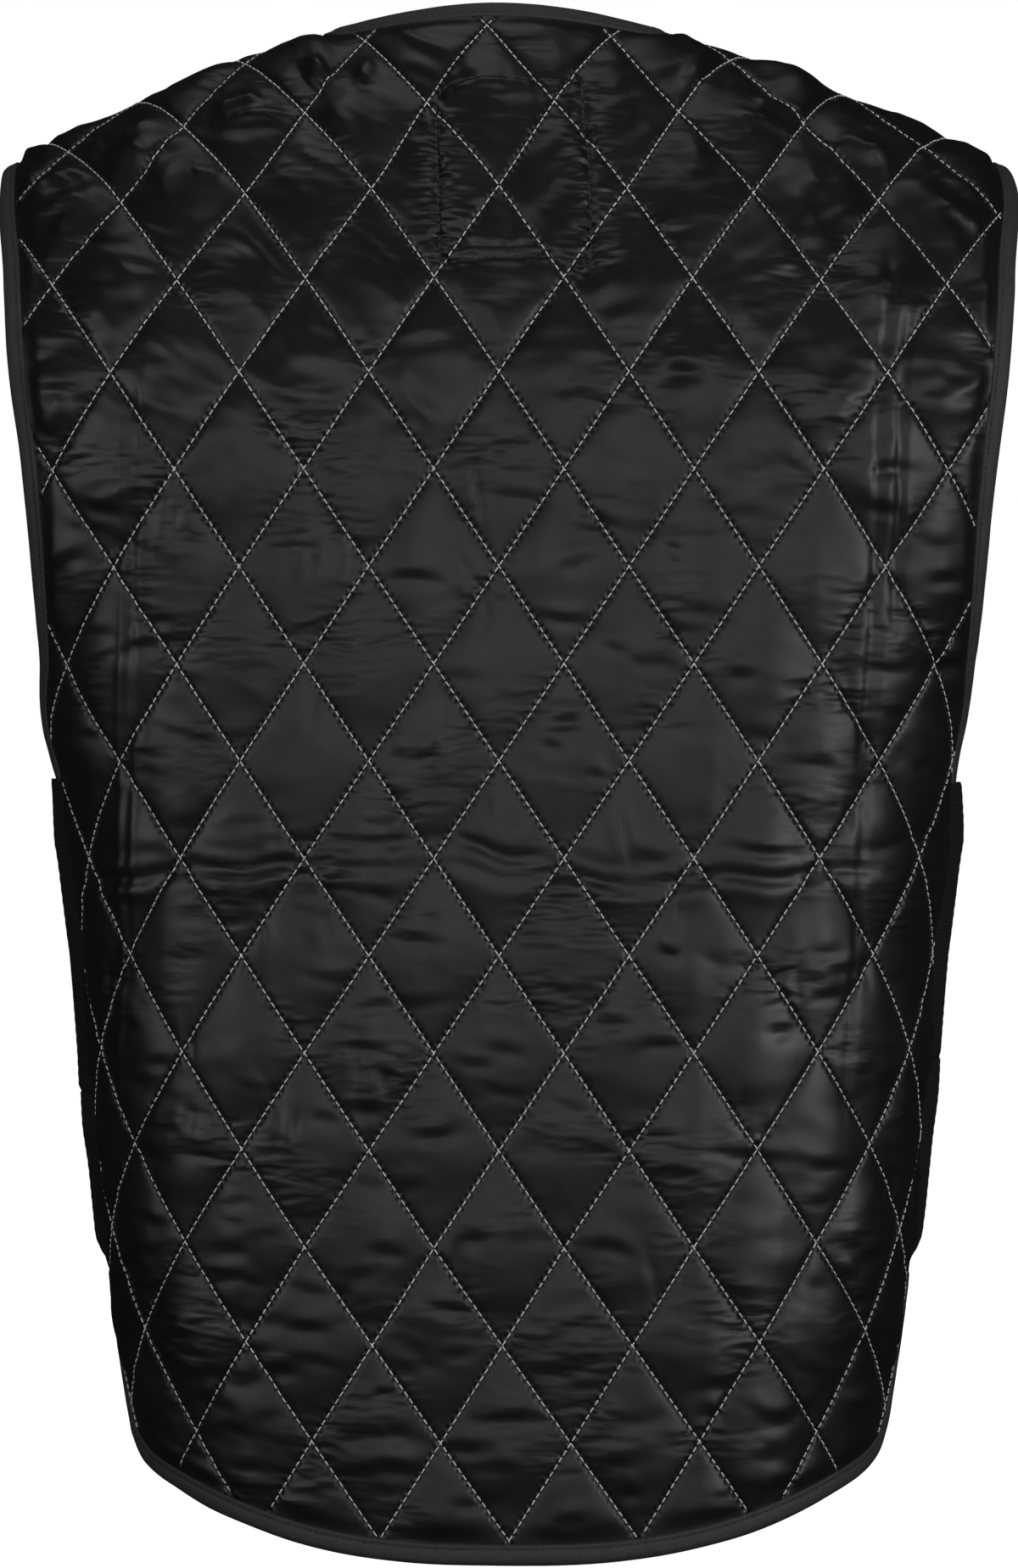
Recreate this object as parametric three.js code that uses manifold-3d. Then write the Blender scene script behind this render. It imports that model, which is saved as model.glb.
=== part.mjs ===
// Cooling vest: a diamond-quilted sleeveless vest in its worn form, bound along every free edge,
// closed by a front zip and joined at each side by two elastic straps.
// Millimetres, +Z up. The front faces -Y, the back +Y, and the wearer's left side is +X.
// The origin is on the plane of symmetry, on the shoulder ridge line and at its middle height.

import * as THREE from 'three';
import { mergeVertices } from 'three/addons/utils/BufferGeometryUtils.js';
import ManifoldModule from 'manifold-3d';

const wasm = await ManifoldModule();
wasm.setup();

// Driving dimensions of the body form
const backLength = 661;
const chestHalfWidth = 206;
const backReach = 98;
const frontReach = 142;
const sideSetback = 125;
const backBendDrop = 153;
const frontBendDrop = 165;
const hemSideLift = 17;

// Driving dimensions of the shoulders and the neck
const neckHalfWidth = 75;
const shoulderHalfWidth = 229;
const shoulderDrop = 62;
const ridgeSweep = 31;
const napeRise = 14;
const backShoulderRound = 1.65;
const frontShoulderRound = 1.8;
const seamBlend = 14;

// Shares that shape the shoulder ridge and the hem. The ridge rounds over at the middle, falls
// evenly and then faster, and carries a nape swell. The hem lifts towards the sides.
const ridgeRounding = 0.4;
const napeReach = 1.13;
const evenFall = 0.64;
const growingFall = 0.36;
const liftStart = 0.65;
const liftRun = 0.27;
const liftMost = 1.2;
const ridgeReadAt = 0.7;

// Driving dimensions of the quilted cloth
const diamondWidth = 57.7;
const diamondHeight = 86.4;
const quiltShift = 4.5;
const firstRowRise = 21.6;
const straightRow = -24;
const shiftRows = 6;
const clothWall = 4;
const puffHeight = 2.4;
const panelHalfSpan = 231;
const edgeSpacing = 20;

// Driving dimensions of the bindings, straps and zip
const bindingWidth = 9;
const bindingThickness = 4.6;
const bindingCorner = 1.3;
const bindingGap = 0.5;
const bindingProud = 0.4;
const strapThickness = 2.4;
const strapBow = 9;
const strapGap = 0.8;
const seamGap = 0.3;
const zipTeethWidth = 6;
const zipTeethThickness = 2.4;
const zipTapeWidth = 8;
const zipTapeThickness = 1.4;
const sliderWidth = 9;
const sliderLength = 12;
const sliderHeight = 4;
const pullWidth = 7;
const pullLength = 32;
const pullThickness = 1.6;

// Horizontal sections of the body. level: share of backLength below the origin.
// width: share of chestHalfWidth. fullness: exponent of the superellipse.
const bodySections = [
  { level: -0.30, width: 1.25, fullness: 5.0 },
  { level: 0.134, width: 1.25, fullness: 5.0 },
  { level: 0.232, width: 1.19, fullness: 4.2 },
  { level: 0.330, width: 1.12, fullness: 3.6 },
  { level: 0.395, width: 1.05, fullness: 3.4 },
  { level: 0.461, width: 1.00, fullness: 3.2 },
  { level: 0.592, width: 0.95, fullness: 3.0 },
  { level: 0.722, width: 0.92, fullness: 3.0 },
  { level: 0.853, width: 0.882, fullness: 2.9 },
  { level: 0.919, width: 0.855, fullness: 2.7 },
  { level: 1.050, width: 0.815, fullness: 2.6 },
];

// Cloth edges laid flat. across: share of panelHalfSpan from the middle. up: share of backLength
// above the level where the cloth starts to bend over the shoulder.
const backArmhole = [
  { across: 0.991, up: 0.163 },
  { across: 0.964, up: 0.098 },
  { across: 0.947, up: 0.033 },
  { across: 0.932, up: -0.033 },
  { across: 0.935, up: -0.100 },
  { across: 0.962, up: -0.158 },
  { across: 0.993, up: -0.196 },
];
const backHem = [
  { across: 0.975, up: -0.628 },
  { across: 0.930, up: -0.668 },
  { across: 0.850, up: -0.702 },
  { across: 0.650, up: -0.7195 },
  { across: 0.400, up: -0.7425 },
  { across: 0.200, up: -0.7525 },
];
const backHemMiddle = -0.7545;
const backNeck = [
  { across: 0.345, up: 0.3175 },
  { across: 0.290, up: 0.3095 },
  { across: 0.180, up: 0.3055 },
];
const backNeckMiddle = 0.3045;
const frontArmhole = [
  { across: 0.965, up: 0.160 },
  { across: 0.928, up: 0.090 },
  { across: 0.908, up: 0.010 },
  { across: 0.912, up: -0.070 },
  { across: 0.950, up: -0.130 },
  { across: 0.990, up: -0.172 },
];
const frontHem = [
  { across: 0.905, up: -0.615 },
  { across: 0.860, up: -0.655 },
  { across: 0.780, up: -0.682 },
  { across: 0.600, up: -0.693 },
  { across: 0.350, up: -0.701 },
];
const frontHemMiddle = -0.705;
const frontNeck = [
  { across: 0.355, up: 0.270 },
  { across: 0.315, up: 0.215 },
  { across: 0.235, up: 0.150 },
  { across: 0.130, up: 0.095 },
];
const frontNeckMiddle = 0.068;
const seamAtNeck = 0.367;
const seamAtTip = 1.035;
const frontSideTaper = 0.93;

// Elastic straps. side: +1 for the wearer's left. top and bottom: shares of backLength
// below the origin.
const straps = [
  { name: 'side_strap_upper_left', side: 1, top: 0.477, bottom: 0.689 },
  { name: 'side_strap_lower_left', side: 1, top: 0.692, bottom: 0.811 },
  { name: 'side_strap_upper_right', side: -1, top: 0.479, bottom: 0.665 },
  { name: 'side_strap_lower_right', side: -1, top: 0.668, bottom: 0.811 },
];

// Colours are dark, as the dyed cloth is
const satin = new THREE.MeshStandardMaterial({ color: 0x151515, roughness: 0.45, metalness: 0 });
const tape = new THREE.MeshStandardMaterial({ color: 0x1b1b1b, roughness: 0.9, metalness: 0 });
const elastic = new THREE.MeshStandardMaterial({ color: 0x101010, roughness: 0.85, metalness: 0 });
const zipPlastic = new THREE.MeshStandardMaterial({ color: 0x141414, roughness: 0.4, metalness: 0 });
const zipMetal = new THREE.MeshStandardMaterial({ color: 0x1c1c1c, roughness: 0.35, metalness: 0.6 });

const arcSteps = 200;

// Values of a body section at a level, read between the rows of the table
function bodyAt(level) {
  let index = 0;
  while (index < bodySections.length - 2 && bodySections[index + 1].level < level) {
    index += 1;
  }
  const upper = bodySections[index];
  const lower = bodySections[index + 1];
  const share = THREE.MathUtils.clamp((level - upper.level) / (lower.level - upper.level), 0, 1);
  return {
    halfWidth: chestHalfWidth * THREE.MathUtils.lerp(upper.width, lower.width, share),
    fullness: THREE.MathUtils.lerp(upper.fullness, lower.fullness, share),
  };
}

// Point on a quarter superellipse, an arc length away from its flat end. Past the other end it
// runs straight on.
function superellipseAt(reach, depth, exponent, arc) {
  let along = 0;
  let inward = 0;
  let travelled = 0;
  for (let step = 1; step <= arcSteps; step += 1) {
    const angle = step / arcSteps * Math.PI / 2;
    const nextAlong = reach * Math.sin(angle) ** (2 / exponent);
    const nextInward = depth * (1 - Math.max(Math.cos(angle), 0) ** (2 / exponent));
    const length = Math.hypot(nextAlong - along, nextInward - inward);
    if (travelled + length >= arc) {
      const share = (arc - travelled) / length;
      return {
        along: THREE.MathUtils.lerp(along, nextAlong, share),
        inward: THREE.MathUtils.lerp(inward, nextInward, share),
      };
    }
    travelled += length;
    along = nextAlong;
    inward = nextInward;
  }
  return { along, inward: inward + arc - travelled, total: travelled };
}

function superellipseLength(reach, depth, exponent) {
  return superellipseAt(reach, depth, exponent, Infinity).total;
}

// Shoulder ridge over a place across the body
function ridgeAt(x) {
  const softX = Math.hypot(x, ridgeRounding * neckHalfWidth);
  const run = (softX - neckHalfWidth) / (shoulderHalfWidth - neckHalfWidth);
  const nape = Math.max(1 - (x / (napeReach * neckHalfWidth)) ** 2, 0) ** 2;
  const forward = ridgeSweep * (x / shoulderHalfWidth) ** 2;
  const fall = evenFall * run + growingFall * run * run;
  const height = shoulderDrop * (0.5 - fall) + napeRise * nape;
  return new THREE.Vector3(x, -forward, height);
}

const ridgeStep = 1;
const ridgeTable = [{ arc: 0, x: 0 }];
while (ridgeTable.at(-1).x < 1.3 * shoulderHalfWidth) {
  const last = ridgeTable.at(-1);
  const length = ridgeAt(last.x + ridgeStep).distanceTo(ridgeAt(last.x));
  ridgeTable.push({ arc: last.arc + length, x: last.x + ridgeStep });
}

// Shoulder ridge at an arc length from the middle
function ridgeAtArc(u) {
  const arc = Math.abs(u);
  const index = Math.max(ridgeTable.findIndex((row) => row.arc > arc), 1);
  const before = ridgeTable[index - 1];
  const after = ridgeTable[index];
  const x = THREE.MathUtils.mapLinear(arc, before.arc, after.arc, before.x, after.x);
  return ridgeAt(Math.sign(u) * x);
}

// The two faces of the body form. facing: +1 for the back, -1 for the front.
const backFace = {
  facing: 1,
  reach: backReach,
  depth: sideSetback,
  bendDrop: backBendDrop,
  shoulderRound: backShoulderRound,
  fullness: (value) => value,
};
const frontFace = {
  facing: -1,
  reach: frontReach,
  depth: frontReach + backReach - sideSetback,
  bendDrop: frontBendDrop,
  shoulderRound: frontShoulderRound,
  fullness: (value) => 2 + 0.65 * (value - 2),
};

// Column of cloth at arc length u from the middle: where it bends, and what it climbs to
function columnOf(face, u, v) {
  const body = bodyAt((face.bendDrop - v) / backLength);
  const fullness = face.fullness(body.fullness);
  const section = superellipseAt(body.halfWidth, face.depth, fullness, Math.abs(u));
  const ridge = ridgeAtArc(u);
  const flatY = face.facing * (face.reach - section.inward);
  return {
    x: Math.sign(u) * section.along,
    y: flatY,
    ridge,
    rise: ridge.z + face.bendDrop,
    run: face.facing * (flatY - ridge.y),
  };
}

// Arc length from the bend to the ridge, in the column at u
function ridgeArc(face, u) {
  const column = columnOf(face, u, ridgeReadAt * face.bendDrop);
  return superellipseLength(column.rise, column.run, face.shoulderRound);
}

// Point of the stitched outer surface, u across and v up the flat cloth from the bend
function surfacePoint(face, u, v) {
  const column = columnOf(face, u, v);
  if (v <= 0) {
    const level = (face.bendDrop - v) / backLength;
    const ramp = THREE.MathUtils.clamp((level - liftStart) / liftRun, 0, liftMost);
    const lift = hemSideLift * (u / panelHalfSpan) ** 4 * ramp;
    return new THREE.Vector3(column.x, column.y, v - face.bendDrop + lift);
  }
  const total = superellipseLength(column.rise, column.run, face.shoulderRound);
  const climb = superellipseAt(column.rise, column.run, face.shoulderRound, v);
  const nearRidge = Math.min(v / total, 1) ** 2;
  return new THREE.Vector3(
    THREE.MathUtils.lerp(column.x, column.ridge.x, nearRidge),
    column.y - face.facing * climb.inward,
    climb.along - face.bendDrop,
  );
}

const slopeStep = 0.5;

// Outward direction of the surface. Close to the shoulder seam it turns to the ridge's own
// upward direction, so that the front and back cloth meet face to face.
function surfaceNormal(face, u, v) {
  const alongU = surfacePoint(face, u + slopeStep, v).sub(surfacePoint(face, u - slopeStep, v));
  const alongV = surfacePoint(face, u, v + slopeStep).sub(surfacePoint(face, u, v - slopeStep));
  const normal = alongV.cross(alongU).multiplyScalar(face.facing).normalize();
  const toSeam = v > 0 ? ridgeArc(face, u) - v : Infinity;
  if (toSeam > seamBlend) {
    return normal;
  }
  const ridgeRun = ridgeAtArc(u + slopeStep).sub(ridgeAtArc(u - slopeStep));
  const upward = new THREE.Vector3(-ridgeRun.z, 0, ridgeRun.x).normalize();
  const share = THREE.MathUtils.smoothstep(seamBlend - toSeam, 0, seamBlend);
  return normal.lerp(upward, share).normalize();
}

function warpPoint(face, u, v, w) {
  return surfacePoint(face, u, v).addScaledVector(surfaceNormal(face, u, v), w);
}

// Indexed geometry from corner points and triangles, turned so that its faces point out
function solidGeometry(points, triangles) {
  const geometry = new THREE.BufferGeometry().setFromPoints(points);
  let volume = 0;
  for (let i = 0; i < triangles.length; i += 3) {
    const [a, b, c] = [points[triangles[i]], points[triangles[i + 1]], points[triangles[i + 2]]];
    volume += a.dot(b.clone().cross(c));
  }
  geometry.setIndex(volume > 0 ? triangles : triangles.slice().reverse());
  return geometry;
}

function toManifold(geometry) {
  const bare = geometry.clone();
  bare.deleteAttribute('normal');
  bare.deleteAttribute('uv');
  const merged = mergeVertices(bare);
  return new wasm.Manifold(new wasm.Mesh({
    numProp: 3,
    vertProperties: new Float32Array(merged.attributes.position.array),
    triVerts: new Uint32Array(merged.index.array),
  }));
}

// Height of the quilting over its stitch lines. Columns and rows count in half cells.
const slopePuff = 0.62;
function puffAt(column, row) {
  if ((column + row) % 2 !== 0) {
    return slopePuff * puffHeight;
  }
  const offLine = row % 2 === 0 && Math.abs(column - row) % 4 === 2;
  return offLine ? puffHeight : 0;
}

// Flat slab of quilted cloth. Its outer faces break along the stitch lines, and its inner
// faces are twice as long.
function quiltSlab(uLow, uHigh, vLow, vHigh) {
  const halfCellU = diamondWidth / 4;
  const halfCellV = diamondHeight / 4;
  const firstColumn = Math.floor(uLow / halfCellU);
  const columns = Math.ceil((uHigh - uLow) / halfCellU) + 2;
  const firstRow = 2 * Math.floor((vLow - firstRowRise) / halfCellV / 2);
  const rows = 2 * Math.ceil((vHigh - vLow) / halfCellV / 2) + 2;
  const points = [];
  const triangles = [];
  const outer = [];
  const inner = [];
  for (let j = 0; j <= rows; j += 1) {
    const v = firstRowRise + (firstRow + j) * halfCellV;
    const shiftShare = (firstRow + j - straightRow) / shiftRows;
    const shift = quiltShift * THREE.MathUtils.clamp(shiftShare, 0, 1);
    outer.push([]);
    inner.push([]);
    for (let i = 0; i <= columns; i += 1) {
      const u = (firstColumn + i) * halfCellU + shift;
      outer[j].push(points.length);
      points.push(new THREE.Vector3(u, v, puffAt(firstColumn + i, firstRow + j)));
      if (j % 2 === 0) {
        inner[j].push(points.length);
        points.push(new THREE.Vector3(u, v, -clothWall));
      }
    }
  }
  for (let j = 0; j < rows; j += 1) {
    for (let i = 0; i < columns; i += 1) {
      const [a, b, c, d] = [outer[j][i], outer[j][i + 1], outer[j + 1][i + 1], outer[j + 1][i]];
      const rising = (firstColumn + i + firstRow + j) % 2 === 0;
      triangles.push(...(rising ? [a, b, c, a, c, d] : [a, b, d, b, c, d]));
    }
  }
  for (let j = 0; j < rows; j += 2) {
    for (let i = 0; i < columns; i += 1) {
      const [a, b, c, d] = [inner[j][i], inner[j][i + 1], inner[j + 2][i + 1], inner[j + 2][i]];
      triangles.push(a, c, b, a, d, c);
    }
    const [lowLeft, highLeft] = [inner[j][0], inner[j + 2][0]];
    triangles.push(outer[j][0], outer[j + 1][0], lowLeft);
    triangles.push(outer[j + 1][0], highLeft, lowLeft);
    triangles.push(outer[j + 1][0], outer[j + 2][0], highLeft);
    const [lowRight, highRight] = [inner[j][columns], inner[j + 2][columns]];
    triangles.push(outer[j][columns], lowRight, outer[j + 1][columns]);
    triangles.push(outer[j + 1][columns], lowRight, highRight);
    triangles.push(outer[j + 1][columns], highRight, outer[j + 2][columns]);
  }
  for (let i = 0; i < columns; i += 1) {
    triangles.push(outer[0][i], inner[0][i], outer[0][i + 1]);
    triangles.push(outer[0][i + 1], inner[0][i], inner[0][i + 1]);
    triangles.push(outer[rows][i], outer[rows][i + 1], inner[rows][i]);
    triangles.push(outer[rows][i + 1], inner[rows][i + 1], inner[rows][i]);
  }
  return solidGeometry(points, triangles);
}

// Flat points along a smooth edge through the given places, about a spacing apart
function edgePoints(places, spacing = edgeSpacing) {
  const curve = new THREE.SplineCurve(places);
  return curve.getSpacedPoints(Math.max(Math.round(curve.getLength() / spacing), 2));
}

function flatPlace({ across, up }) {
  return new THREE.Vector2(across * panelHalfSpan, up * backLength);
}

// Flat point on the shoulder seam, half a seam gap short of the ridge
function seamPlace(face, across) {
  const u = across * panelHalfSpan;
  return new THREE.Vector2(u, ridgeArc(face, u) - seamGap / 2);
}

// Flat point on the side edge, at a height of the worn vest
function sidePlace(face, across, level) {
  const u = across * panelHalfSpan;
  const lift = surfacePoint(face, u, face.bendDrop - level * backLength).z + level * backLength;
  return new THREE.Vector2(u, face.bendDrop - level * backLength - lift);
}

function seamEdge(face) {
  const count = Math.round((seamAtTip - seamAtNeck) * panelHalfSpan / edgeSpacing);
  const places = [];
  for (let i = 0; i <= count; i += 1) {
    places.push(seamPlace(face, THREE.MathUtils.lerp(seamAtNeck, seamAtTip, i / count)));
  }
  return places;
}

function mirrored(places) {
  return places.map((place) => new THREE.Vector2(-place.x, place.y));
}

function mirroredEdges(edges) {
  const pairs = Object.entries(edges).map(([key, places]) => [key, mirrored(places)]);
  return Object.fromEntries(pairs);
}

// Edges of the cloth on each side, listed from the neck round to the hem's middle
function edgesOf(face, side) {
  const isBack = face === backFace;
  const strapTop = straps.find((strap) => strap.side === side).top;
  const strapBottom = straps.findLast((strap) => strap.side === side).bottom;
  const lowShare = isBack ? 1 : frontSideTaper;
  const sideTop = sidePlace(face, 1, strapTop - 0.003);
  const sideBottom = sidePlace(face, lowShare, strapBottom + 0.002);
  const middle = isBack ? 0 : zipTeethWidth / 2 + zipTapeWidth + 2 * seamGap;
  const neck = (isBack ? backNeck : frontNeck).map(flatPlace);
  const neckShare = isBack ? backNeckMiddle : frontNeckMiddle;
  const neckMiddle = new THREE.Vector2(middle, neckShare * backLength);
  const armhole = (isBack ? backArmhole : frontArmhole).map(flatPlace);
  const hem = (isBack ? backHem : frontHem).map(flatPlace);
  const hemShare = isBack ? backHemMiddle : frontHemMiddle;
  const hemMiddle = new THREE.Vector2(middle, hemShare * backLength);
  return {
    neck: edgePoints([seamPlace(face, seamAtNeck), ...neck, neckMiddle], edgeSpacing / 2),
    seam: seamEdge(face),
    armhole: edgePoints([seamPlace(face, seamAtTip), ...armhole, sideTop]),
    side: [sideTop, sideBottom],
    hem: edgePoints([sideBottom, ...hem, hemMiddle]),
  };
}

const samePlace = 0.01;

// Closed outline of half a panel, from the middle of the neck round to the middle of the hem
function halfOutline(edges) {
  const neck = edges.neck.slice().reverse();
  const joined = [...neck, ...edges.seam, ...edges.armhole, ...edges.side, ...edges.hem];
  return joined.filter((place, index) => {
    return index === 0 || place.distanceTo(joined[index - 1]) > samePlace;
  });
}

// Quilted panel: the slab cut to its outline, then laid on the body form
const cutterDepth = 10 * clothWall;
function panelGeometry(face, outline) {
  const box = new THREE.Box2().setFromPoints(outline);
  const margin = diamondWidth / 4;
  box.expandByScalar(margin);
  const slab = quiltSlab(box.min.x, box.max.x, box.min.y, box.max.y);
  const options = { depth: cutterDepth, bevelEnabled: false };
  const cutter = new THREE.ExtrudeGeometry(new THREE.Shape(outline), options);
  cutter.translate(0, 0, -cutterDepth / 2);
  const cut = toManifold(slab).intersect(toManifold(cutter)).getMesh();
  const points = [];
  for (let i = 0; i < cut.vertProperties.length; i += 3) {
    const [u, v, w] = cut.vertProperties.slice(i, i + 3);
    points.push(warpPoint(face, u, v, w));
  }
  return solidGeometry(points, Array.from(cut.triVerts));
}

// Places along a bound edge, each with the direction off the cloth's edge and the outward one.
// turn: +1 where the cloth lies to the right of the way along the edge, -1 to the left.
function edgeFrames(face, places, turn) {
  return places.map((place, index) => {
    const before = places[Math.max(index - 1, 0)];
    const after = places[Math.min(index + 1, places.length - 1)];
    const along = after.clone().sub(before).normalize();
    const off = new THREE.Vector2(-turn * along.y, turn * along.x);
    const near = surfacePoint(face, place.x - off.x, place.y - off.y);
    const point = surfacePoint(face, place.x, place.y);
    const away = point.clone().sub(near).normalize();
    return { point, away, outward: surfaceNormal(face, place.x, place.y) };
  });
}

// Closed strip that follows frames with a convex profile of (away, outward) pairs
function stripGeometry(frames, profile) {
  const points = [];
  const triangles = [];
  for (const frame of frames) {
    for (const [away, outward] of profile) {
      const point = frame.point.clone().addScaledVector(frame.away, away);
      points.push(point.addScaledVector(frame.outward, outward));
    }
  }
  const size = profile.length;
  for (let i = 0; i < frames.length - 1; i += 1) {
    for (let k = 0; k < size; k += 1) {
      const next = (k + 1) % size;
      const [a, b] = [i * size + k, i * size + next];
      triangles.push(a, b, b + size, a, b + size, a + size);
    }
  }
  const last = (frames.length - 1) * size;
  for (let k = 1; k < size - 1; k += 1) {
    triangles.push(0, k + 1, k, last, last + k, last + k + 1);
  }
  return solidGeometry(points, triangles);
}

// Profile of a binding: a flat tape folded round the edge, seen end on
const bindingInner = bindingGap;
const bindingOuter = bindingGap + bindingWidth;
const bindingTop = (bindingThickness - clothWall) / 2 + bindingProud;
const bindingBottom = bindingTop - bindingThickness;
const bindingProfile = [
  [bindingInner, bindingBottom],
  [bindingOuter - bindingCorner, bindingBottom],
  [bindingOuter, bindingBottom + bindingCorner],
  [bindingOuter, bindingTop - bindingCorner],
  [bindingOuter - bindingCorner, bindingTop],
  [bindingInner, bindingTop],
];

function addMesh(group, name, geometry, material) {
  const mesh = new THREE.Mesh(geometry, material);
  mesh.name = name;
  group.add(mesh);
  return mesh;
}

const vest = new THREE.Group();
const sides = [{ label: 'left', side: 1 }, { label: 'right', side: -1 }];
const backEdges = {};
const frontEdges = {};
for (const { label, side } of sides) {
  const backSide = edgesOf(backFace, side);
  const frontSide = edgesOf(frontFace, side);
  backEdges[label] = side > 0 ? backSide : mirroredEdges(backSide);
  frontEdges[label] = side > 0 ? frontSide : mirroredEdges(frontSide);
}

// Panels
const rightHalf = halfOutline(backEdges.right).reverse().slice(1, -1);
const backOutline = [...halfOutline(backEdges.left), ...rightHalf];
addMesh(vest, 'back_panel', panelGeometry(backFace, backOutline), satin);
for (const { label } of sides) {
  const outline = halfOutline(frontEdges[label]);
  addMesh(vest, `front_panel_${label}`, panelGeometry(frontFace, outline), satin);
}

// Bindings along the neck, the armholes and the hems
const neckFrames = [
  ...edgeFrames(frontFace, frontEdges.left.neck, -1).reverse(),
  ...edgeFrames(backFace, backEdges.left.neck, -1).slice(1),
  ...edgeFrames(backFace, backEdges.right.neck, 1).reverse().slice(1),
  ...edgeFrames(frontFace, frontEdges.right.neck, 1).slice(1),
];
addMesh(vest, 'neck_binding', stripGeometry(neckFrames, bindingProfile), tape);
for (const { label, side } of sides) {
  const armholeFrames = [
    ...edgeFrames(backFace, backEdges[label].armhole, side).reverse(),
    ...edgeFrames(frontFace, frontEdges[label].armhole, side).slice(1),
  ];
  addMesh(vest, `armhole_binding_${label}`, stripGeometry(armholeFrames, bindingProfile), tape);
}
const backHemFrames = [
  ...edgeFrames(backFace, backEdges.left.hem, 1),
  ...edgeFrames(backFace, backEdges.right.hem, -1).reverse().slice(1),
];
addMesh(vest, 'hem_binding_back', stripGeometry(backHemFrames, bindingProfile), tape);
for (const { label, side } of sides) {
  const frames = edgeFrames(frontFace, frontEdges[label].hem, side);
  addMesh(vest, `hem_binding_front_${label}`, stripGeometry(frames, bindingProfile), tape);
}

// Frame where a strap meets a side edge at a level
function strapEnd(face, side, level) {
  const [top, bottom] = [straps[0].top, straps[1].bottom];
  const taper = THREE.MathUtils.mapLinear(level, top, bottom, 1, frontSideTaper);
  const place = sidePlace(face, face === backFace ? 1 : taper, level);
  place.x *= side;
  const point = surfacePoint(face, place.x, place.y);
  const away = point.clone().sub(surfacePoint(face, place.x - side, place.y)).normalize();
  const outward = surfaceNormal(face, place.x, place.y);
  point.addScaledVector(away, strapGap);
  return { point: point.addScaledVector(outward, -clothWall / 2), away, outward };
}

// Elastic strap: a flat band from the back's side edge round to the front's
const strapRows = 4;
const strapColumns = 10;
function strapGeometry({ side, top, bottom }) {
  const rows = strapRows;
  const columns = strapColumns;
  const points = [];
  const triangles = [];
  for (let j = 0; j <= rows; j += 1) {
    const level = THREE.MathUtils.lerp(top, bottom, j / rows);
    const back = strapEnd(backFace, side, level);
    const front = strapEnd(frontFace, side, level);
    const span = back.point.distanceTo(front.point);
    const bow = new THREE.Vector3(side * strapBow, 0, 0);
    const curve = new THREE.CubicBezierCurve3(
      back.point,
      back.point.clone().addScaledVector(back.away, span / 3).add(bow),
      front.point.clone().addScaledVector(front.away, span / 3).add(bow),
      front.point,
    );
    for (let i = 0; i <= columns; i += 1) {
      const point = curve.getPoint(i / columns);
      const tangent = curve.getTangent(i / columns);
      let outward = new THREE.Vector3(-side * tangent.y, side * tangent.x, 0).normalize();
      if (i === 0) {
        outward = back.outward;
      }
      if (i === columns) {
        outward = front.outward;
      }
      for (const offset of [-strapThickness / 2, strapThickness / 2]) {
        points.push(point.clone().addScaledVector(outward, offset));
      }
    }
  }
  const at = (i, j, k) => 2 * (j * (columns + 1) + i) + k;
  const quad = (a, b, c, d) => triangles.push(a, b, c, a, c, d);
  for (let j = 0; j < rows; j += 1) {
    for (let i = 0; i < columns; i += 1) {
      quad(at(i, j, 1), at(i + 1, j, 1), at(i + 1, j + 1, 1), at(i, j + 1, 1));
      quad(at(i, j, 0), at(i, j + 1, 0), at(i + 1, j + 1, 0), at(i + 1, j, 0));
    }
    quad(at(0, j, 0), at(0, j, 1), at(0, j + 1, 1), at(0, j + 1, 0));
    quad(at(columns, j, 1), at(columns, j, 0), at(columns, j + 1, 0), at(columns, j + 1, 1));
  }
  for (let i = 0; i < columns; i += 1) {
    quad(at(i, 0, 0), at(i + 1, 0, 0), at(i + 1, 0, 1), at(i, 0, 1));
    quad(at(i, rows, 1), at(i + 1, rows, 1), at(i + 1, rows, 0), at(i, rows, 0));
  }
  return solidGeometry(points, triangles);
}

for (const strap of straps) {
  addMesh(vest, strap.name, strapGeometry(strap), elastic);
}

// Zip: frames down the middle of the front, from the neck to the hem
const zipTop = frontNeckMiddle * backLength;
const zipBottom = frontHemMiddle * backLength;
const zipFrames = [];
const zipSteps = 24;
for (let i = 0; i <= zipSteps; i += 1) {
  const v = THREE.MathUtils.lerp(zipTop, zipBottom, i / zipSteps);
  const point = surfacePoint(frontFace, 0, v);
  const outward = surfaceNormal(frontFace, 0, v);
  zipFrames.push({ point, away: new THREE.Vector3(1, 0, 0), outward });
}
const teethTop = (zipTeethThickness - clothWall) / 2;
const teethProfile = [
  [-zipTeethWidth / 2, teethTop - zipTeethThickness],
  [zipTeethWidth / 2, teethTop - zipTeethThickness],
  [zipTeethWidth / 2, teethTop - 0.3 * zipTeethThickness],
  [0.3 * zipTeethWidth, teethTop],
  [-0.3 * zipTeethWidth, teethTop],
  [-zipTeethWidth / 2, teethTop - 0.3 * zipTeethThickness],
];
addMesh(vest, 'zip_teeth', stripGeometry(zipFrames, teethProfile), zipPlastic);
for (const { label, side } of sides) {
  const nearEdge = side * (zipTeethWidth / 2 + seamGap);
  const farEdge = side * (zipTeethWidth / 2 + seamGap + zipTapeWidth);
  const middle = teethTop - zipTeethThickness / 2;
  const tapeProfile = [
    [nearEdge, middle - zipTapeThickness / 2],
    [farEdge, middle - zipTapeThickness / 2],
    [farEdge, middle + zipTapeThickness / 2],
    [nearEdge, middle + zipTapeThickness / 2],
  ];
  addMesh(vest, `zip_tape_${label}`, stripGeometry(zipFrames, tapeProfile), tape);
}

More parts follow.
